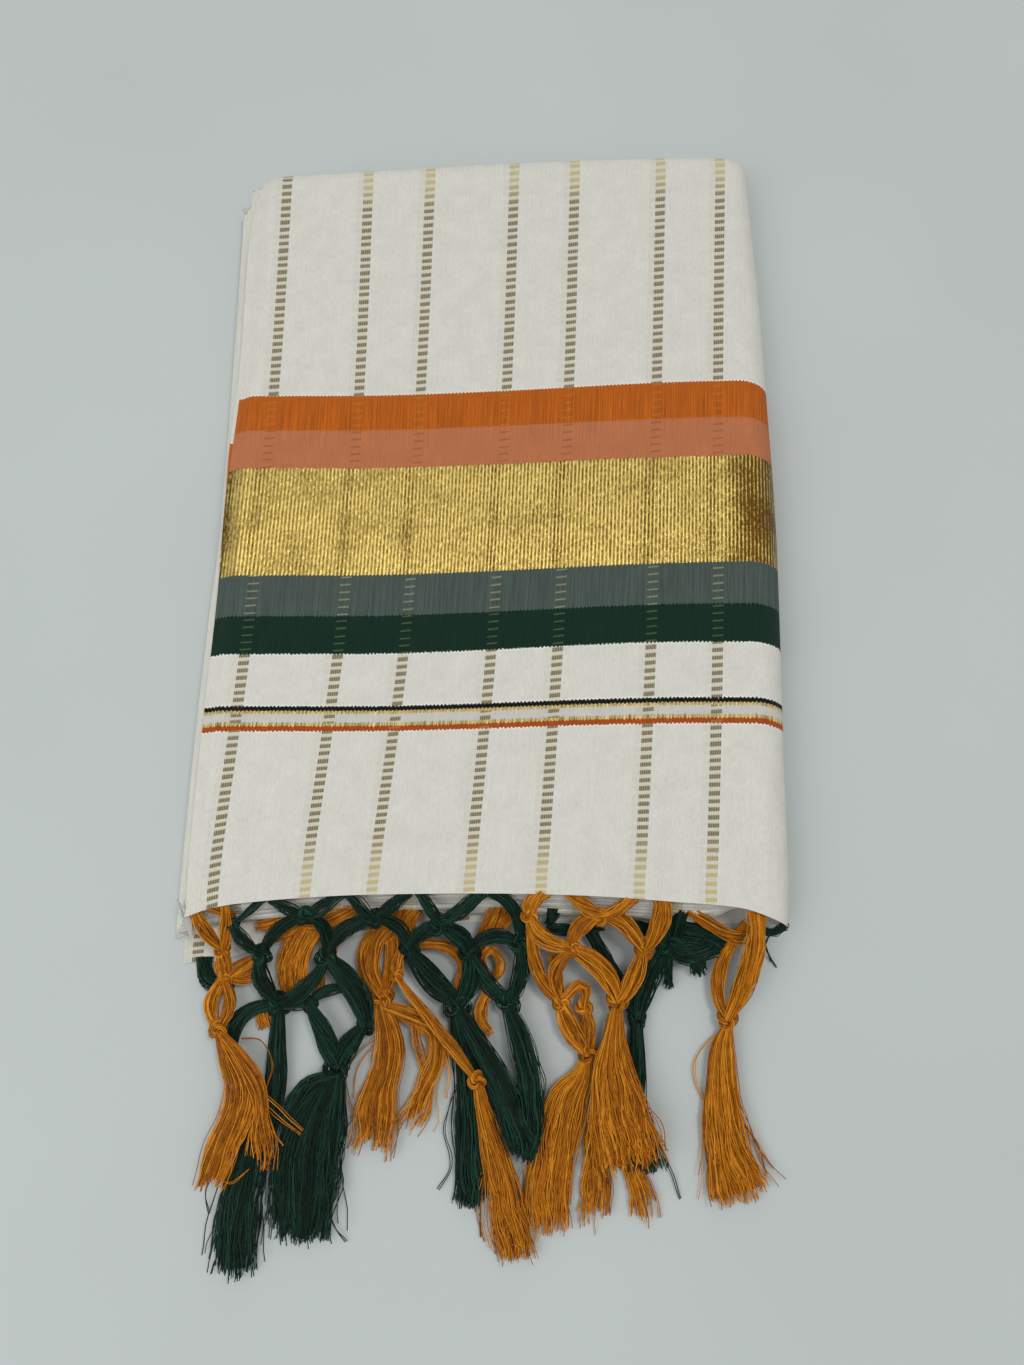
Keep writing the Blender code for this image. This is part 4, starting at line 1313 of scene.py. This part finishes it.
def tie_knot(knot: Knot, radius: float, seed: int) -> list[Strand]:
    """Ties an overhand knot of a few threads, one in the middle and the others round it.

    Args:
        knot: The knot's place and size.
        radius: The thread's radius in millimetres.
        seed: Turns the knot its own way.

    Returns:
        The closed threads of the knot.
    """
    dice = random.Random(seed)
    heading = dice.uniform(0.0, math.tau)
    tilt = dice.uniform(-KNOT_TILT, KNOT_TILT)
    scale = knot.half_width / TREFOIL_SIZE

    def middle(turn: float) -> Vector:
        """The knot's own line, a trefoil wound twice round."""
        arm = 2.0 + math.cos(3.0 * turn)
        rise = TREFOIL_HEIGHT * math.sin(3.0 * turn)
        return Vector((arm * math.cos(2.0 * turn), arm * math.sin(2.0 * turn), rise))

    strands = []
    for index in range(KNOT_THREADS):
        spread = 0.0 if index == 0 else KNOT_SPREAD
        angle = index * math.tau / (KNOT_THREADS - 1.0)
        points = []
        for step in range(KNOT_POINTS):
            turn = math.tau * step / KNOT_POINTS
            here = middle(turn)
            run = (middle(turn + 0.01) - here).normalized()
            side = Vector((run.y, -run.x, 0.0)).normalized()
            up = side.cross(run)
            around = angle + 2.0 * turn
            here = here + side * math.cos(around) * spread + up * math.sin(around) * spread
            x, y, z = here * scale
            y, z = y * math.cos(tilt) - z * math.sin(tilt), y * math.sin(tilt) + z * math.cos(tilt)
            across = x * math.cos(heading) - y * math.sin(heading)
            along = x * math.sin(heading) + y * math.cos(heading)
            points.append(Vector((knot.x + across, knot.y + along, max(knot.z + z, radius + FLOOR_GAP))))
        strands.append(Strand(points, radius * KNOT_THICKNESS, True))
    return strands


def thread_section() -> Object:
    """Makes a thread's cross-section, a triangle of 1 mm radius, which smooth shading rounds."""
    section = bpy.data.curves.new("thread_section", "CURVE")
    section.dimensions = "2D"
    ring = section.splines.new("POLY")
    ring.points.add(2)
    ring.use_cyclic_u = True
    for index, point in enumerate(ring.points):
        angle = -index * math.tau / 3.0
        point.co = (MM * math.cos(angle), MM * math.sin(angle), 0.0, 1.0)
    item = bpy.data.objects.new("thread_section", section)
    bpy.context.scene.collection.objects.link(item)
    return item


def spin_mesh(name: str, strands: Sequence[Strand]) -> Object:
    """Makes one mesh of many threads: a curve with a line for each, thickened and made a mesh."""
    section = thread_section()
    curve = bpy.data.curves.new(name, "CURVE")
    curve.dimensions = "3D"
    curve.bevel_mode = "OBJECT"
    curve.bevel_object = section
    curve.use_fill_caps = True
    for strand in strands:
        line = curve.splines.new("POLY")
        line.points.add(len(strand.points) - 1)
        line.use_cyclic_u = strand.closed
        for point, place in zip(line.points, strand.points):
            point.co = (place.x * MM, place.y * MM, place.z * MM, 1.0)
            point.radius = strand.radius
    item = bpy.data.objects.new(name, curve)
    bpy.context.scene.collection.objects.link(item)
    make_active(item)
    bpy.ops.object.convert(target="MESH")
    item = bpy.context.active_object
    item.name = item.data.name = name
    bpy.data.objects.remove(section)
    return item


@dataclass
class KnottedNet:
    """A part of the macrame net: arms of thread between overhand knots."""

    name: str
    node: str
    yarn: Yarn
    material: Material
    knots: Sequence[Knot]
    arms: Sequence[Arm]
    shape: PacketShape
    seed: int
    radius: float = 0.27
    fill: float = 0.95
    roundness: float = 0.8
    fewest_threads: int = 9
    raggedness: float = 0.05
    root_out: float = 1.4
    spacing: float = 3.1
    thin: float = 0.56
    leaf: float = 0.8
    flat: float = 0.62
    flat_leaf: float = 0.16
    fullness: float = 0.8
    root_wide: float = 1.2
    root_high: float = 0.35
    end_high: float = 0.8
    root_drop: float = 1.6
    arm_steps: int = 6

    def end_point(self, end: str | float | Point) -> Vector:
        """Where an arm starts or ends."""
        if isinstance(end, str):
            return Vector(next(knot for knot in self.knots if knot.name == end)[1:4])
        if isinstance(end, tuple):
            return Vector(end)
        hem = self.shape.hem(end)
        return Vector((end, hem + self.root_out, self.shape.height(end, hem) - self.root_drop))

    def arm_lock(self, arm: Arm) -> Lock:
        """The lock of threads in an arm: narrow at its knots, wide and flat between them."""
        start, end = self.end_point(arm.start), self.end_point(arm.end)
        control = 2.0 * ((start + end) / 2.0 + Vector(arm.bow)) - (start + end) / 2.0
        stations = []
        for step in range(self.arm_steps + 1):
            t = step / self.arm_steps
            place = start * (1 - t) ** 2 + control * 2 * t * (1 - t) + end * t**2
            swell = math.sin(math.pi * t) ** self.fullness
            wide = arm.half_width * (self.thin + self.leaf * swell)
            high = arm.half_width * (self.flat + self.flat_leaf * swell)
            if step == 0 and not isinstance(arm.start, str):
                wide, high = arm.half_width * self.root_wide, self.root_high
            if step == self.arm_steps and not isinstance(arm.end, str):
                wide, high = arm.half_width * self.root_wide, self.end_high
            stations.append(Station(place.x, place.y, place.z, wide, high))
        size = arm.half_width**2 * self.roundness / self.radius**2
        threads = max(int(size * self.fill), self.fewest_threads)
        return Lock(threads, self.raggedness, tuple(stations))

    def build(self) -> Object:
        """Builds the net and returns it."""
        strands = []
        for index, knot in enumerate(self.knots):
            strands += tie_knot(knot, self.radius, self.seed + index)
        for index, arm in enumerate(self.arms):
            seed, tied = self.seed * LOCK_SEEDS + index, isinstance(arm.end, str)
            strands += comb_threads(self.arm_lock(arm), self.radius, self.spacing, seed, tied)
        item = spin_mesh(self.name, strands)
        return dress(item, self.material, [self.node], smooth_to=180.0)


@dataclass
class Tassel:
    """A tassel of loose threads below its knot, with a few that stray."""

    name: str
    node: str
    yarn: Yarn
    material: Material
    locks: tuple[Lock, ...]
    strays: tuple[tuple[Point, ...], ...]
    seed: int
    radius: float = 0.27
    spacing: float = 4.2
    twist: float = 0.5
    stray_threads: int = 2
    stray_raggedness: float = 0.01
    stray_size: tuple[float, float] = (0.7, 0.5)
    stray_spacing: float = 2.2
    fill: float = 1.75

    def build(self) -> Object:
        """Builds the tassel and returns it."""
        strands = []
        for index, thin in enumerate(self.locks):
            full = thin._replace(threads=int(thin.threads * self.fill))
            seed = self.seed * LOCK_SEEDS + index
            strands += comb_threads(full, self.radius, self.spacing, seed, False, self.twist)
        for index, path in enumerate(self.strays):
            rows = ((*point, *self.stray_size) for point in path)
            stray = lock(self.stray_threads, self.stray_raggedness, *rows)
            strands += comb_threads(stray, self.radius, self.stray_spacing, self.seed + index, True)
        item = spin_mesh(self.name, strands)
        return dress(item, self.material, [self.node], smooth_to=180.0)


GREEN_KNOTS = (
    ("hem_0", -125, -220, 18, 2.6), ("hem_1", -90, -216, 20, 3.4), ("hem_2", -57, -217, 20, 3.6),
    ("hem_3", -25, -220, 19, 4.2), ("mid_1", -111, -234, 14, 3.8), ("mid_2", -80, -235, 13, 4.2),
    ("mid_3", -40, -232, 13, 3.8), ("mid_4", -11, -232, 13, 4.2), ("mid_5", 13, -229, 14, 4.2),
    ("low_1", -103, -257, 7, 4.4), ("low_2", -17, -257, 7, 5.2), ("low_3", 8, -256, 7, 4.6),
    ("low_4", -73.5, -286, 7, 4.8), ("low_5", -88, -257, 8, 3.0), ("low_6", -61, -267, 8, 3.6),
)
ORANGE_KNOTS = (
    ("hem_4", 18, -216, 22, 3.0), ("hem_5", 52, -216, 21, 3.4), ("mid_6", 73, -232, 16, 3.4),
    ("low_7", 60, -256, 10, 4.0), ("low_8", 33, -256, 9, 3.2), ("low_9", 44, -258, 9, 3.2),
    ("low_10", 46, -280, 6, 3.6), ("cross", 38, -231, 17, 3.2),
)
LEFT_KNOTS = (
    ("side_0", -127, -216.5, 18, 2.2), ("side_1", -131, -232, 10, 3.0), ("side_2", -130, -245, 8, 3.0),
    ("side_3", -131, -268, 9, 3.6),
)
LOOP_KNOTS = (("loop_1", -53, -254, 6, 4.2),)
STRAND_KNOTS = (("strand_0", -46, -244, 11, 2.6), ("strand_1", -7, -291, 12, 3.2),)
RIGHT_KNOTS = (("right_1", 113, -264, 7, 3.8),)
TUFT_KNOTS = (("tuft_1", 70, -264, 3.9, 3.6), ("tuft_2", 86, -229, 11, 5.0),)
GREEN_ARMS = (
    (-108.0, "hem_0", (2, 2, 1), 1.6), ("hem_0", "mid_1", (-2, -1, 1), 2.5),
    (-106.0, "hem_1", (0, -1, 1), 2.2), (-72.0, "hem_1", (0, -1, 1), 2.2),
    (-69.0, "hem_2", (0, -1, 1), 2.4), (-40.0, "hem_2", (0, -1, 1), 2.2), (-35.0, "hem_3", (0, -1, 1), 2.6),
    (-4.0, "hem_3", (0, -1, 1), 2.8), (-1.0, "mid_5", (5, 2, 1), 2.6), ("hem_1", "mid_1", (-3, 3, 1), 2.6),
    ("hem_1", "mid_2", (4, 3, 1), 2.6), ("hem_2", "mid_2", (-4, 2, 1), 2.8),
    ("hem_2", "mid_3", (3, 3, 1), 2.6), ("hem_3", "mid_3", (-2, 1, 1), 2.8),
    ("hem_3", "mid_4", (2, 1, 1), 3.0), ("mid_4", "mid_5", (0, 5, 1), 2.6),
    ("mid_1", "low_1", (-4, 0, 0), 3.4), ("mid_2", "low_1", (2, -3, 0), 3.2),
    ("mid_2", "low_6", (4, 1, 0), 4.6), ("low_6", "low_4", (-2.5, -1, 0), 3.6),
    ((-66, -250, 9), "low_5", (-2, 3, 0), 2.0), ("low_1", "low_5", (0, 0, 0), 2.4),
    ("low_5", "low_4", (2, -3, 0), 4.0), ("mid_3", "low_2", (-1, 0, 0), 4.4),
    ("mid_4", "low_2", (3, -1, 0), 4.0), ("mid_5", "low_3", (3, -2, 0), 3.2),
    ("mid_4", "low_3", (-1, -2, 0), 3.0), ("low_1", (-124, -283, 4.0), (-8, 6, 0), 2.9),
    ((-141.5, -235, 1.6), (-129, -248, 3.2), (-3.5, -4, 1), 3.4),
)
ORANGE_ARMS = (
    (26.0, "hem_4", (-3, 0, 1), 3.0), (36.0, "hem_5", (1, -2, 1), 2.6), (68.0, "hem_5", (-1, -2, 1), 2.6),
    (81.0, "mid_6", (3, 1, 1), 3.6), ("hem_5", "cross", (-2, 3, 1), 2.8),
    ("hem_5", "mid_6", (1, 4, 1), 2.8), ("hem_4", "cross", (-3, -3, 0), 3.2),
    ("cross", "low_7", (4, 2, 1), 3.6), ("mid_6", "low_7", (1, -2, 0), 3.4),
    ("hem_4", "low_8", (-4, -5, -2), 2.6), ("cross", "low_8", (-6, 0, 0), 2.6),
    ("low_8", "low_9", (5, 9, 3), 2.4), ("low_8", "low_10", (-1, -1, 0), 3.6),
    ("low_9", "low_10", (1, 0, 0), 2.6), ((29, -234, 8), "low_8", (0, 0, 0), 2.6),
)
LEFT_ARMS = (
    (-143.0, "side_1", (-1, -1, 1), 2.6), (-137.0, "side_0", (0, 1, 0), 2.0),
    (-128.0, "side_1", (1, -3, 0), 2.2), ("side_1", "side_2", (0, 0, 0), 3.2),
    ((-113, -234, 9), "side_2", (0, -1, 0), 2.8), ((-112, -241, 6), "side_2", (2, -2, 0), 1.8),
    ("side_2", "side_3", (-5, 0, 0), 2.6), ("side_2", "side_3", (4, 0, 0), 2.4),
)
LOOP_ARMS = (((-44, -214, 9), "loop_1", (-12, 1, -2), 4.4), ((-52, -214, 9), "loop_1", (4, 2, -2), 3.4),)
STRAND_ARMS = (
    ((-44, -232, 13), "strand_0", (-1, 0, 0), 2.2), ("strand_0", "strand_1", (3, -3, 3), 2.3),
    ((-36, -229, 9), (-17, -252, 7), (10, 6, 0), 2.4), ((-1, -231, 9), (-1, -246, 7), (-5, 0, 0), 1.9),
    ((-1, -231, 9), (-1, -246, 7), (5, 0, 0), 1.9), ((-2, -252, 8), (-1, -270, 8), (-4, 0, 0), 2.2),
)
RIGHT_ARMS = (
    ((127, -214.0, 21.5), "right_1", (4, 0, 2), 4.2), ((124, -219, 11), "right_1", (-9, -1, 0), 2.6),
    ((95, -212.3, 14.5), (121, -226, 12), (0, -2, 0), 2.4),
)
TUFT_ARMS = (
    ((93, -212.3, 14.5), "tuft_2", (0, 0, 0), 3.0), ("tuft_2", "tuft_1", (-4, -3, -1), 3.8),
    ("tuft_2", (107, -229, 10), (0, -4, 1), 5.2), ("tuft_2", (101, -242, 5), (3, 4, 1), 3.6),
    ("tuft_2", (86, -248, 4), (0, 0, 0), 2.4), ((78, -222, 10), (112, -229, 9), (0, 3, 0), 4.2),
    ((30, -211, 12), (28, -220, 10), (0, 0, 0), 2.6), ((26, -222, 10), (52, -221, 10), (0, -1, 0), 2.6),
    ((63, -211, 12), (66, -220, 10), (0, 0, 0), 2.6), ((64, -220, 10), (80, -226, 9), (0, 2, 0), 3.2),
    ((47, -220.5, 9.5), "tuft_1", (0, 0, 0), 3.2),
)
NETS = (
    ("macrame_net_green", "net_green", Yarn.GREEN, GREEN_KNOTS, GREEN_ARMS),
    ("macrame_net_orange", "net_orange", Yarn.ORANGE, ORANGE_KNOTS, ORANGE_ARMS),
    ("macrame_net_left", "net_orange_left", Yarn.ORANGE, LEFT_KNOTS, LEFT_ARMS),
    ("macrame_loop", "net_orange_loop", Yarn.ORANGE, LOOP_KNOTS, LOOP_ARMS),
    ("macrame_strand", "strand_orange_knotted", Yarn.ORANGE, STRAND_KNOTS, STRAND_ARMS),
    ("macrame_net_right", "net_orange_right", Yarn.ORANGE, RIGHT_KNOTS, RIGHT_ARMS),
    ("macrame_tuft", "tuft_green_right", Yarn.GREEN, TUFT_KNOTS, TUFT_ARMS),
)
TASSELS = (
    ("far_left_tassel_green", "tassel_green_far_left", Yarn.GREEN, (
        lock(140, 0.03, (-103, -260, 7, 2.8, 2.4), (-103.5, -275, 5.6, 4.4, 2.8),
            (-104, -298, 4.8, 5.6, 3.2), (-111, -321, 4.4, 8, 3.0), (-117, -342, 3.8, 10.5, 2.6),
            (-119, -371, 3.0, 11, 2.2)),
    ), (
        ((-106, -330, 4), (-107, -350, 2), (-108, -373, 1)),
        ((-128, -330, 5), (-133, -340, 3), (-131, -350, 1)),
    )),
    ("left_tassel_green", "tassel_green_left", Yarn.GREEN, (
        lock(290, 0.035, (-73.5, -288, 7, 3.6, 3.2), (-75, -294, 6.8, 6.5, 3.6), (-79, -303, 6.4, 12.5, 4),
            (-84, -317, 5.8, 17.5, 4), (-87, -334, 4.6, 19, 3.2), (-88, -357, 3.2, 15.5, 2.2)),
        lock(30, 0.15, (-75, -289, 7.5, 2.5, 2), (-86, -292, 7.5, 3.6, 2.4), (-94, -302, 6.5, 4.6, 2.4),
            (-98, -318, 5, 5, 2)),
    ), (
        ((-75, -350, 3), (-71, -357, 2), (-67, -362, 1)), ((-76, -290, 8), (-92, -294, 6), (-101, -306, 4)),
    )),
    ("middle_tassel_green", "tassel_green_middle", Yarn.GREEN, (
        lock(135, 0.03, (-17, -260, 7, 3.2, 2.8), (-13, -275, 6, 6.5, 3.4), (-11, -292, 5.2, 8, 3.2),
            (-10.5, -312, 4.4, 8.5, 3.0), (-10, -344, 3.2, 8, 2.2)),
    ), (
        ((-15, -290, 5), (-22, -312, 3), (-19, -330, 2), (-25, -340, 1)),
    )),
    ("wide_tassel_green", "tassel_green_wide", Yarn.GREEN, (
        lock(120, 0.03, (-16, -260, 8.5, 3.4, 2.8), (-5, -277, 9.5, 6, 3.2), (5, -295, 10.5, 7.5, 3.2),
            (14, -319, 11.5, 7, 2.4)),
        lock(95, 0.03, (8, -259, 7.5, 3.2, 2.8), (13, -272, 8.4, 6, 3.2), (17, -290, 9.4, 6.5, 3.2),
            (19, -307, 10, 5.5, 2.6), (17, -324, 10.5, 3.5, 2.0)),
    ), (
        ((21, -280, 9), (25, -292, 8), (24, -302, 8)),
    )),
    ("right_tassel_green", "tassel_green_right", Yarn.GREEN, (
        lock(130, 0.03, (70, -266, 4.4, 3.0, 2.6), (69.5, -283, 4.2, 4.4, 2.8), (69, -302, 3.8, 5.5, 2.6),
            (71, -330, 3.0, 12, 2.0)),
    ), (
        ((78, -318, 3), (84, -332, 2), (88, -344, 1)),
    )),
    ("far_left_tassel_orange", "tassel_orange_far_left", Yarn.ORANGE, (
        lock(130, 0.04, (-130, -270, 9.5, 2.4, 2.2), (-124, -280, 10.5, 6, 3.0), (-118, -292, 11, 8.5, 3.2),
            (-118, -305, 11, 9, 3.2), (-125, -320, 10.5, 8, 3.0), (-129, -333, 9.8, 6.5, 2.4)),
        lock(60, 0.09, (-129, -271, 10, 2.2, 1.8), (-118, -283, 11.5, 4.5, 2.4), (-110, -296, 11.8, 5, 2.4),
            (-108, -309, 11, 5.5, 2.2), (-107, -322, 10, 7, 1.8)),
    ), (
        ((-118, -285, 12), (-105, -298, 11), (-88, -313, 9)),
        ((-116, -292, 12), (-104, -304, 10), (-89, -315, 9)),
        ((-112, -300, 11), (-104, -312, 10), (-97, -320, 9)),
        ((-129, -332, 10), (-120, -336, 8), (-112, -330, 9)),
        ((-119, -272, 11), (-110, -273, 10), (-104, -284, 9), (-106.5, -295, 9)),
    )),
    ("loose_tassel_orange", "tassel_orange_loose", Yarn.ORANGE, (
        lock(120, 0.06, (-54, -256, 6.5, 3, 2.4), (-50, -269, 6.4, 6.5, 3.0), (-49, -282, 6, 8, 3.0),
            (-53, -297, 5.4, 9.5, 3.0), (-56, -318, 4, 12, 2.2)),
        lock(46, 0.08, (-52, -258, 7, 2.2, 2), (-40, -262, 7, 3.6, 2.4), (-28, -268, 6.6, 4.2, 2.2),
            (-26, -280, 5.8, 4, 2.2), (-31, -294, 5, 4.6, 2.0), (-36, -307, 4, 6.5, 1.8)),
        lock(9, 0.15, (-38, -262, 7, 1.6, 1.2), (-36, -276, 6, 2.4, 1.4), (-31, -290, 5, 1.6, 1.2)),
    ), (
        ((-55, -272, 6), (-66, -281, 5), (-70, -294, 4), (-66, -306, 3)),
        ((-57, -276, 6), (-64, -286, 4), (-66, -300, 3)), ((-25, -268, 7), (-21, -286, 5), (-22, -300, 3)),
        ((-38, -266, 7), (-30, -274, 6), (-35, -284, 5), (-29, -292, 5)),
    )),
    ("knotted_tassel_orange", "tassel_orange_knotted", Yarn.ORANGE, (
        lock(125, 0.03, (-6, -293, 11.5, 2.4, 2.2), (-4, -302, 10, 3.8, 2.6), (2, -322, 7, 7, 3.0),
            (7, -344, 5, 9.5, 2.8), (11, -365, 3.4, 11, 2.2)),
    ), (
        ((-4, -330, 5), (-7, -345, 3), (-3, -362, 1)), ((-3, -332, 5), (-5, -347, 3), (-5, -360, 1)),
    )),
    ("fan_tassel_orange", "tassel_orange_fan", Yarn.ORANGE, (
        lock(230, 0.04, (60, -259, 10.5, 2.8, 2.6), (58.5, -272, 11.5, 6, 3.2), (58, -290, 12, 12.5, 3.6),
            (60, -308, 11.8, 16, 3.2), (62, -325, 11, 17, 2.4)),
    ), (
        ((70, -300, 12), (75, -312, 10), (82, -322, 9)), ((72, -302, 11), (79, -311, 10), (80, -322, 9)),
    )),
    ("side_tassel_orange", "tassel_orange_side", Yarn.ORANGE, (
        lock(165, 0.05, (45, -283, 6, 2.6, 2.2), (42, -291, 6, 6, 3), (36, -300, 5.6, 10.5, 3.2),
            (32, -313, 5.2, 12.5, 3.2), (28, -332, 4.2, 12.5, 2.6), (26, -351, 3.2, 12.5, 2.0)),
    ), ()),
    ("under_tassel_orange", "tassel_orange_under", Yarn.ORANGE, (
        lock(70, 0.04, (58, -262, 4, 2, 1.6), (54, -290, 3.2, 4, 2), (50, -320, 2.8, 7, 1.8),
            (49, -348, 2.4, 8.5, 1.5)),
        lock(46, 0.05, (58, -266, 4, 1.8, 1.5), (61, -300, 3, 4, 1.6), (66, -328, 2.6, 5, 1.5),
            (71, -350, 2.2, 6.5, 1.2)),
    ), (
        ((70, -330, 3), (76, -342, 2), (78, -352, 1)),
    )),
    ("right_tassel_orange", "tassel_orange_right", Yarn.ORANGE, (
        lock(180, 0.03, (113, -267, 6.6, 2.4, 2.2), (110, -278, 6, 6, 3.2), (109, -300, 5.2, 9.5, 3.2),
            (110.5, -322, 4.4, 12, 2.8), (115, -340, 3.4, 15, 2.0)),
    ), (
        ((120, -312, 4), (126, -322, 3), (132, -331, 1)), ((118, -310, 4), (125, -320, 3), (129, -334, 1)),
        ((108, -271, 5), (99, -280, 3), (97, -290, 2), (101, -301, 1)),
    )),
)
UNDER_STRANDS = (
    ("under_left_locks", "strand_orange_under_left", Yarn.ORANGE, (
        lock(40, 0.12, (-66, -212, 12, 2.6, 1.2), (-79, -218.5, 11, 3.6, 1.8), (-94, -221, 9.5, 3.8, 1.8),
            (-104, -225, 7.6, 3, 1.4)),
        lock(130, 0.1, (-72, -212.5, 11, 4.0, 1.6), (-84, -217, 9.6, 6.5, 2.4), (-93, -227, 7.6, 8.5, 3.0),
            (-97, -236, 5.6, 9.5, 2.6), (-98, -246, 3.6, 8.5, 1.8)),
        lock(42, 0.08, (-94, -213.5, 10, 2.6, 1.4), (-104, -216.5, 9, 3.4, 1.8),
            (-115, -219, 7.6, 3.4, 1.6)),
        lock(26, 0.08, (-84, -238, 5, 2.4, 1.4), (-85, -245, 4, 3, 1.6), (-86, -252, 2.6, 2.6, 1.2)),
        lock(34, 0.08, (-106, -256, 4, 2.4, 1.4), (-111, -261, 3.6, 4, 1.8), (-110, -268, 2.4, 3.6, 1.2)),
    ), ()),
    ("under_middle_locks", "strand_orange_under_middle", Yarn.ORANGE, (
        lock(60, 0.06, (-73, -213, 10, 4.5, 1.4), (-78, -220, 8.4, 5, 2.4), (-80, -232, 5.2, 4.6, 2.0)),
        lock(70, 0.07, (-45, -210, 12, 5.0, 1.4), (-47, -217, 10, 6.4, 2.4), (-51, -223, 8.4, 5.4, 2.2),
            (-55, -226, 7.2, 3.6, 1.6)),
        lock(60, 0.07, (-37, -212, 12, 4.0, 1.4), (-42, -219, 9.6, 5.0, 2.4), (-40, -228, 7, 5.2, 2.0)),
        lock(44, 0.06, (3, -210, 12, 3.6, 1.4), (-1, -219, 9.6, 4.6, 2.2), (-8, -230, 7, 3.6, 1.8)),
        lock(30, 0.06, (11, -211, 12, 2.6, 1.2), (8, -216, 10.6, 3.4, 1.8), (3, -221, 9, 2.8, 1.4)),
    ), ()),
    ("corner_stub", "strand_green_corner", Yarn.GREEN, (
        lock(26, 0.06, (130, -221.5, 15, 1.2, 1.0), (135, -223.8, 15, 2.3, 1.8),
            (142, -220.4, 16, 2.4, 1.6)),
        lock(2, 0.01, (136, -223, 13, 0.5, 0.4), (133.5, -229, 7, 0.5, 0.4), (136, -234, 2.6, 0.5, 0.4),
            (140, -239.5, 0.9, 0.5, 0.4)),
    ), ()),
)


class Lamp(NamedTuple):
    """A soft square light that faces the packet, in metres and watts."""

    name: str
    place: Point
    size: float
    power: float
    colour: Point

    def build(self) -> None:
        """Adds the light."""
        deselect_all()
        bpy.ops.object.light_add(type="AREA", location=self.place)
        item = bpy.context.active_object
        item.name = self.name
        item.data.size = self.size
        item.data.energy = self.power
        item.data.color = self.colour
        item.rotation_euler = (-Vector(self.place)).to_track_quat("-Z", "Y").to_euler()


LAMPS = (
    Lamp("key_light", (0.85, 0.2, 2.9), 0.8, 29.0, (1.0, 0.985, 0.96)),
    Lamp("room_fill", (-0.75, -0.55, 1.1), 1.1, 7.0, (0.97, 0.98, 1.0)),
    Lamp("far_light", (0.1, 1.7, 0.75), 0.9, 3.2, (1.0, 0.98, 0.94)),
)


@dataclass
class Studio:
    """A pale floor, soft light and the camera at the photograph's angle, in metres."""

    floor_size: float = 8.0
    floor_drop: float = 0.0002
    camera_place: Point = (0.0095, -0.2351, 0.5248)
    camera_tilt: float = math.radians(15.0)
    lens: float = 27.03
    sensor_width: float = 36.0
    nearest_seen: float = 0.01
    sky_colour: str = "DCE4E8"
    sky_strength: float = 0.55

    def build(self) -> None:
        """Builds the floor, the lights, the world and the camera."""
        deselect_all()
        bpy.ops.mesh.primitive_plane_add(size=self.floor_size, location=(0.0, 0.0, -self.floor_drop))
        floor = bpy.context.active_object
        floor.name = "floor"
        floor.data.materials.append(PaleFloor().material())
        for lamp in LAMPS:
            lamp.build()
        world = bpy.data.worlds.new("pale studio")
        bpy.context.scene.world = world
        world.use_nodes = True
        background = world.node_tree.nodes["Background"]
        feed(background, {"Color": srgb(self.sky_colour), "Strength": self.sky_strength})
        deselect_all()
        bpy.ops.object.camera_add(location=self.camera_place, rotation=(self.camera_tilt, 0.0, 0.0))
        camera = bpy.context.active_object
        camera.data.sensor_fit = "AUTO"
        camera.data.sensor_width = self.sensor_width
        camera.data.lens = self.lens
        camera.data.clip_start = self.nearest_seen
        bpy.context.scene.camera = camera
        bpy.context.scene.view_settings.view_transform = "Standard"


def main() -> None:
    """Builds the saree's cloth, its fringe and the studio, in that order."""
    logging.basicConfig(level=logging.INFO, format="%(name)s %(message)s")
    shape = PacketShape()
    cloth = HandloomCotton().material()
    yarns = {
        Yarn.ORANGE: DyedYarn(Yarn.ORANGE, "7A4001", "BE7102", "F2A228").material(),
        Yarn.GREEN: DyedYarn(Yarn.GREEN, "02110A", "062719", "20503C").material(),
    }
    stack = FoldedPlies(shape, cloth)
    LowerPly(shape, stack, cloth).build()
    stack.build()
    SecondPly(shape, cloth).build()
    OuterPly(shape, cloth).build()
    for seed, (name, node, yarn, knot_rows, arm_rows) in zip(count(NET_SEED, SEED_STEP), NETS):
        knots = [Knot(*row) for row in knot_rows]
        arms = [Arm(*row) for row in arm_rows]
        KnottedNet(name, node, yarn, yarns[yarn], knots, arms, shape, seed).build()
    for first_seed, table in ((TASSEL_SEED, TASSELS), (UNDER_SEED, UNDER_STRANDS)):
        for seed, (name, node, yarn, locks, strays) in zip(count(first_seed, SEED_STEP), table):
            Tassel(name, node, yarn, yarns[yarn], locks, strays, seed).build()
    Studio().build()


if __name__ == "__main__":
    main()
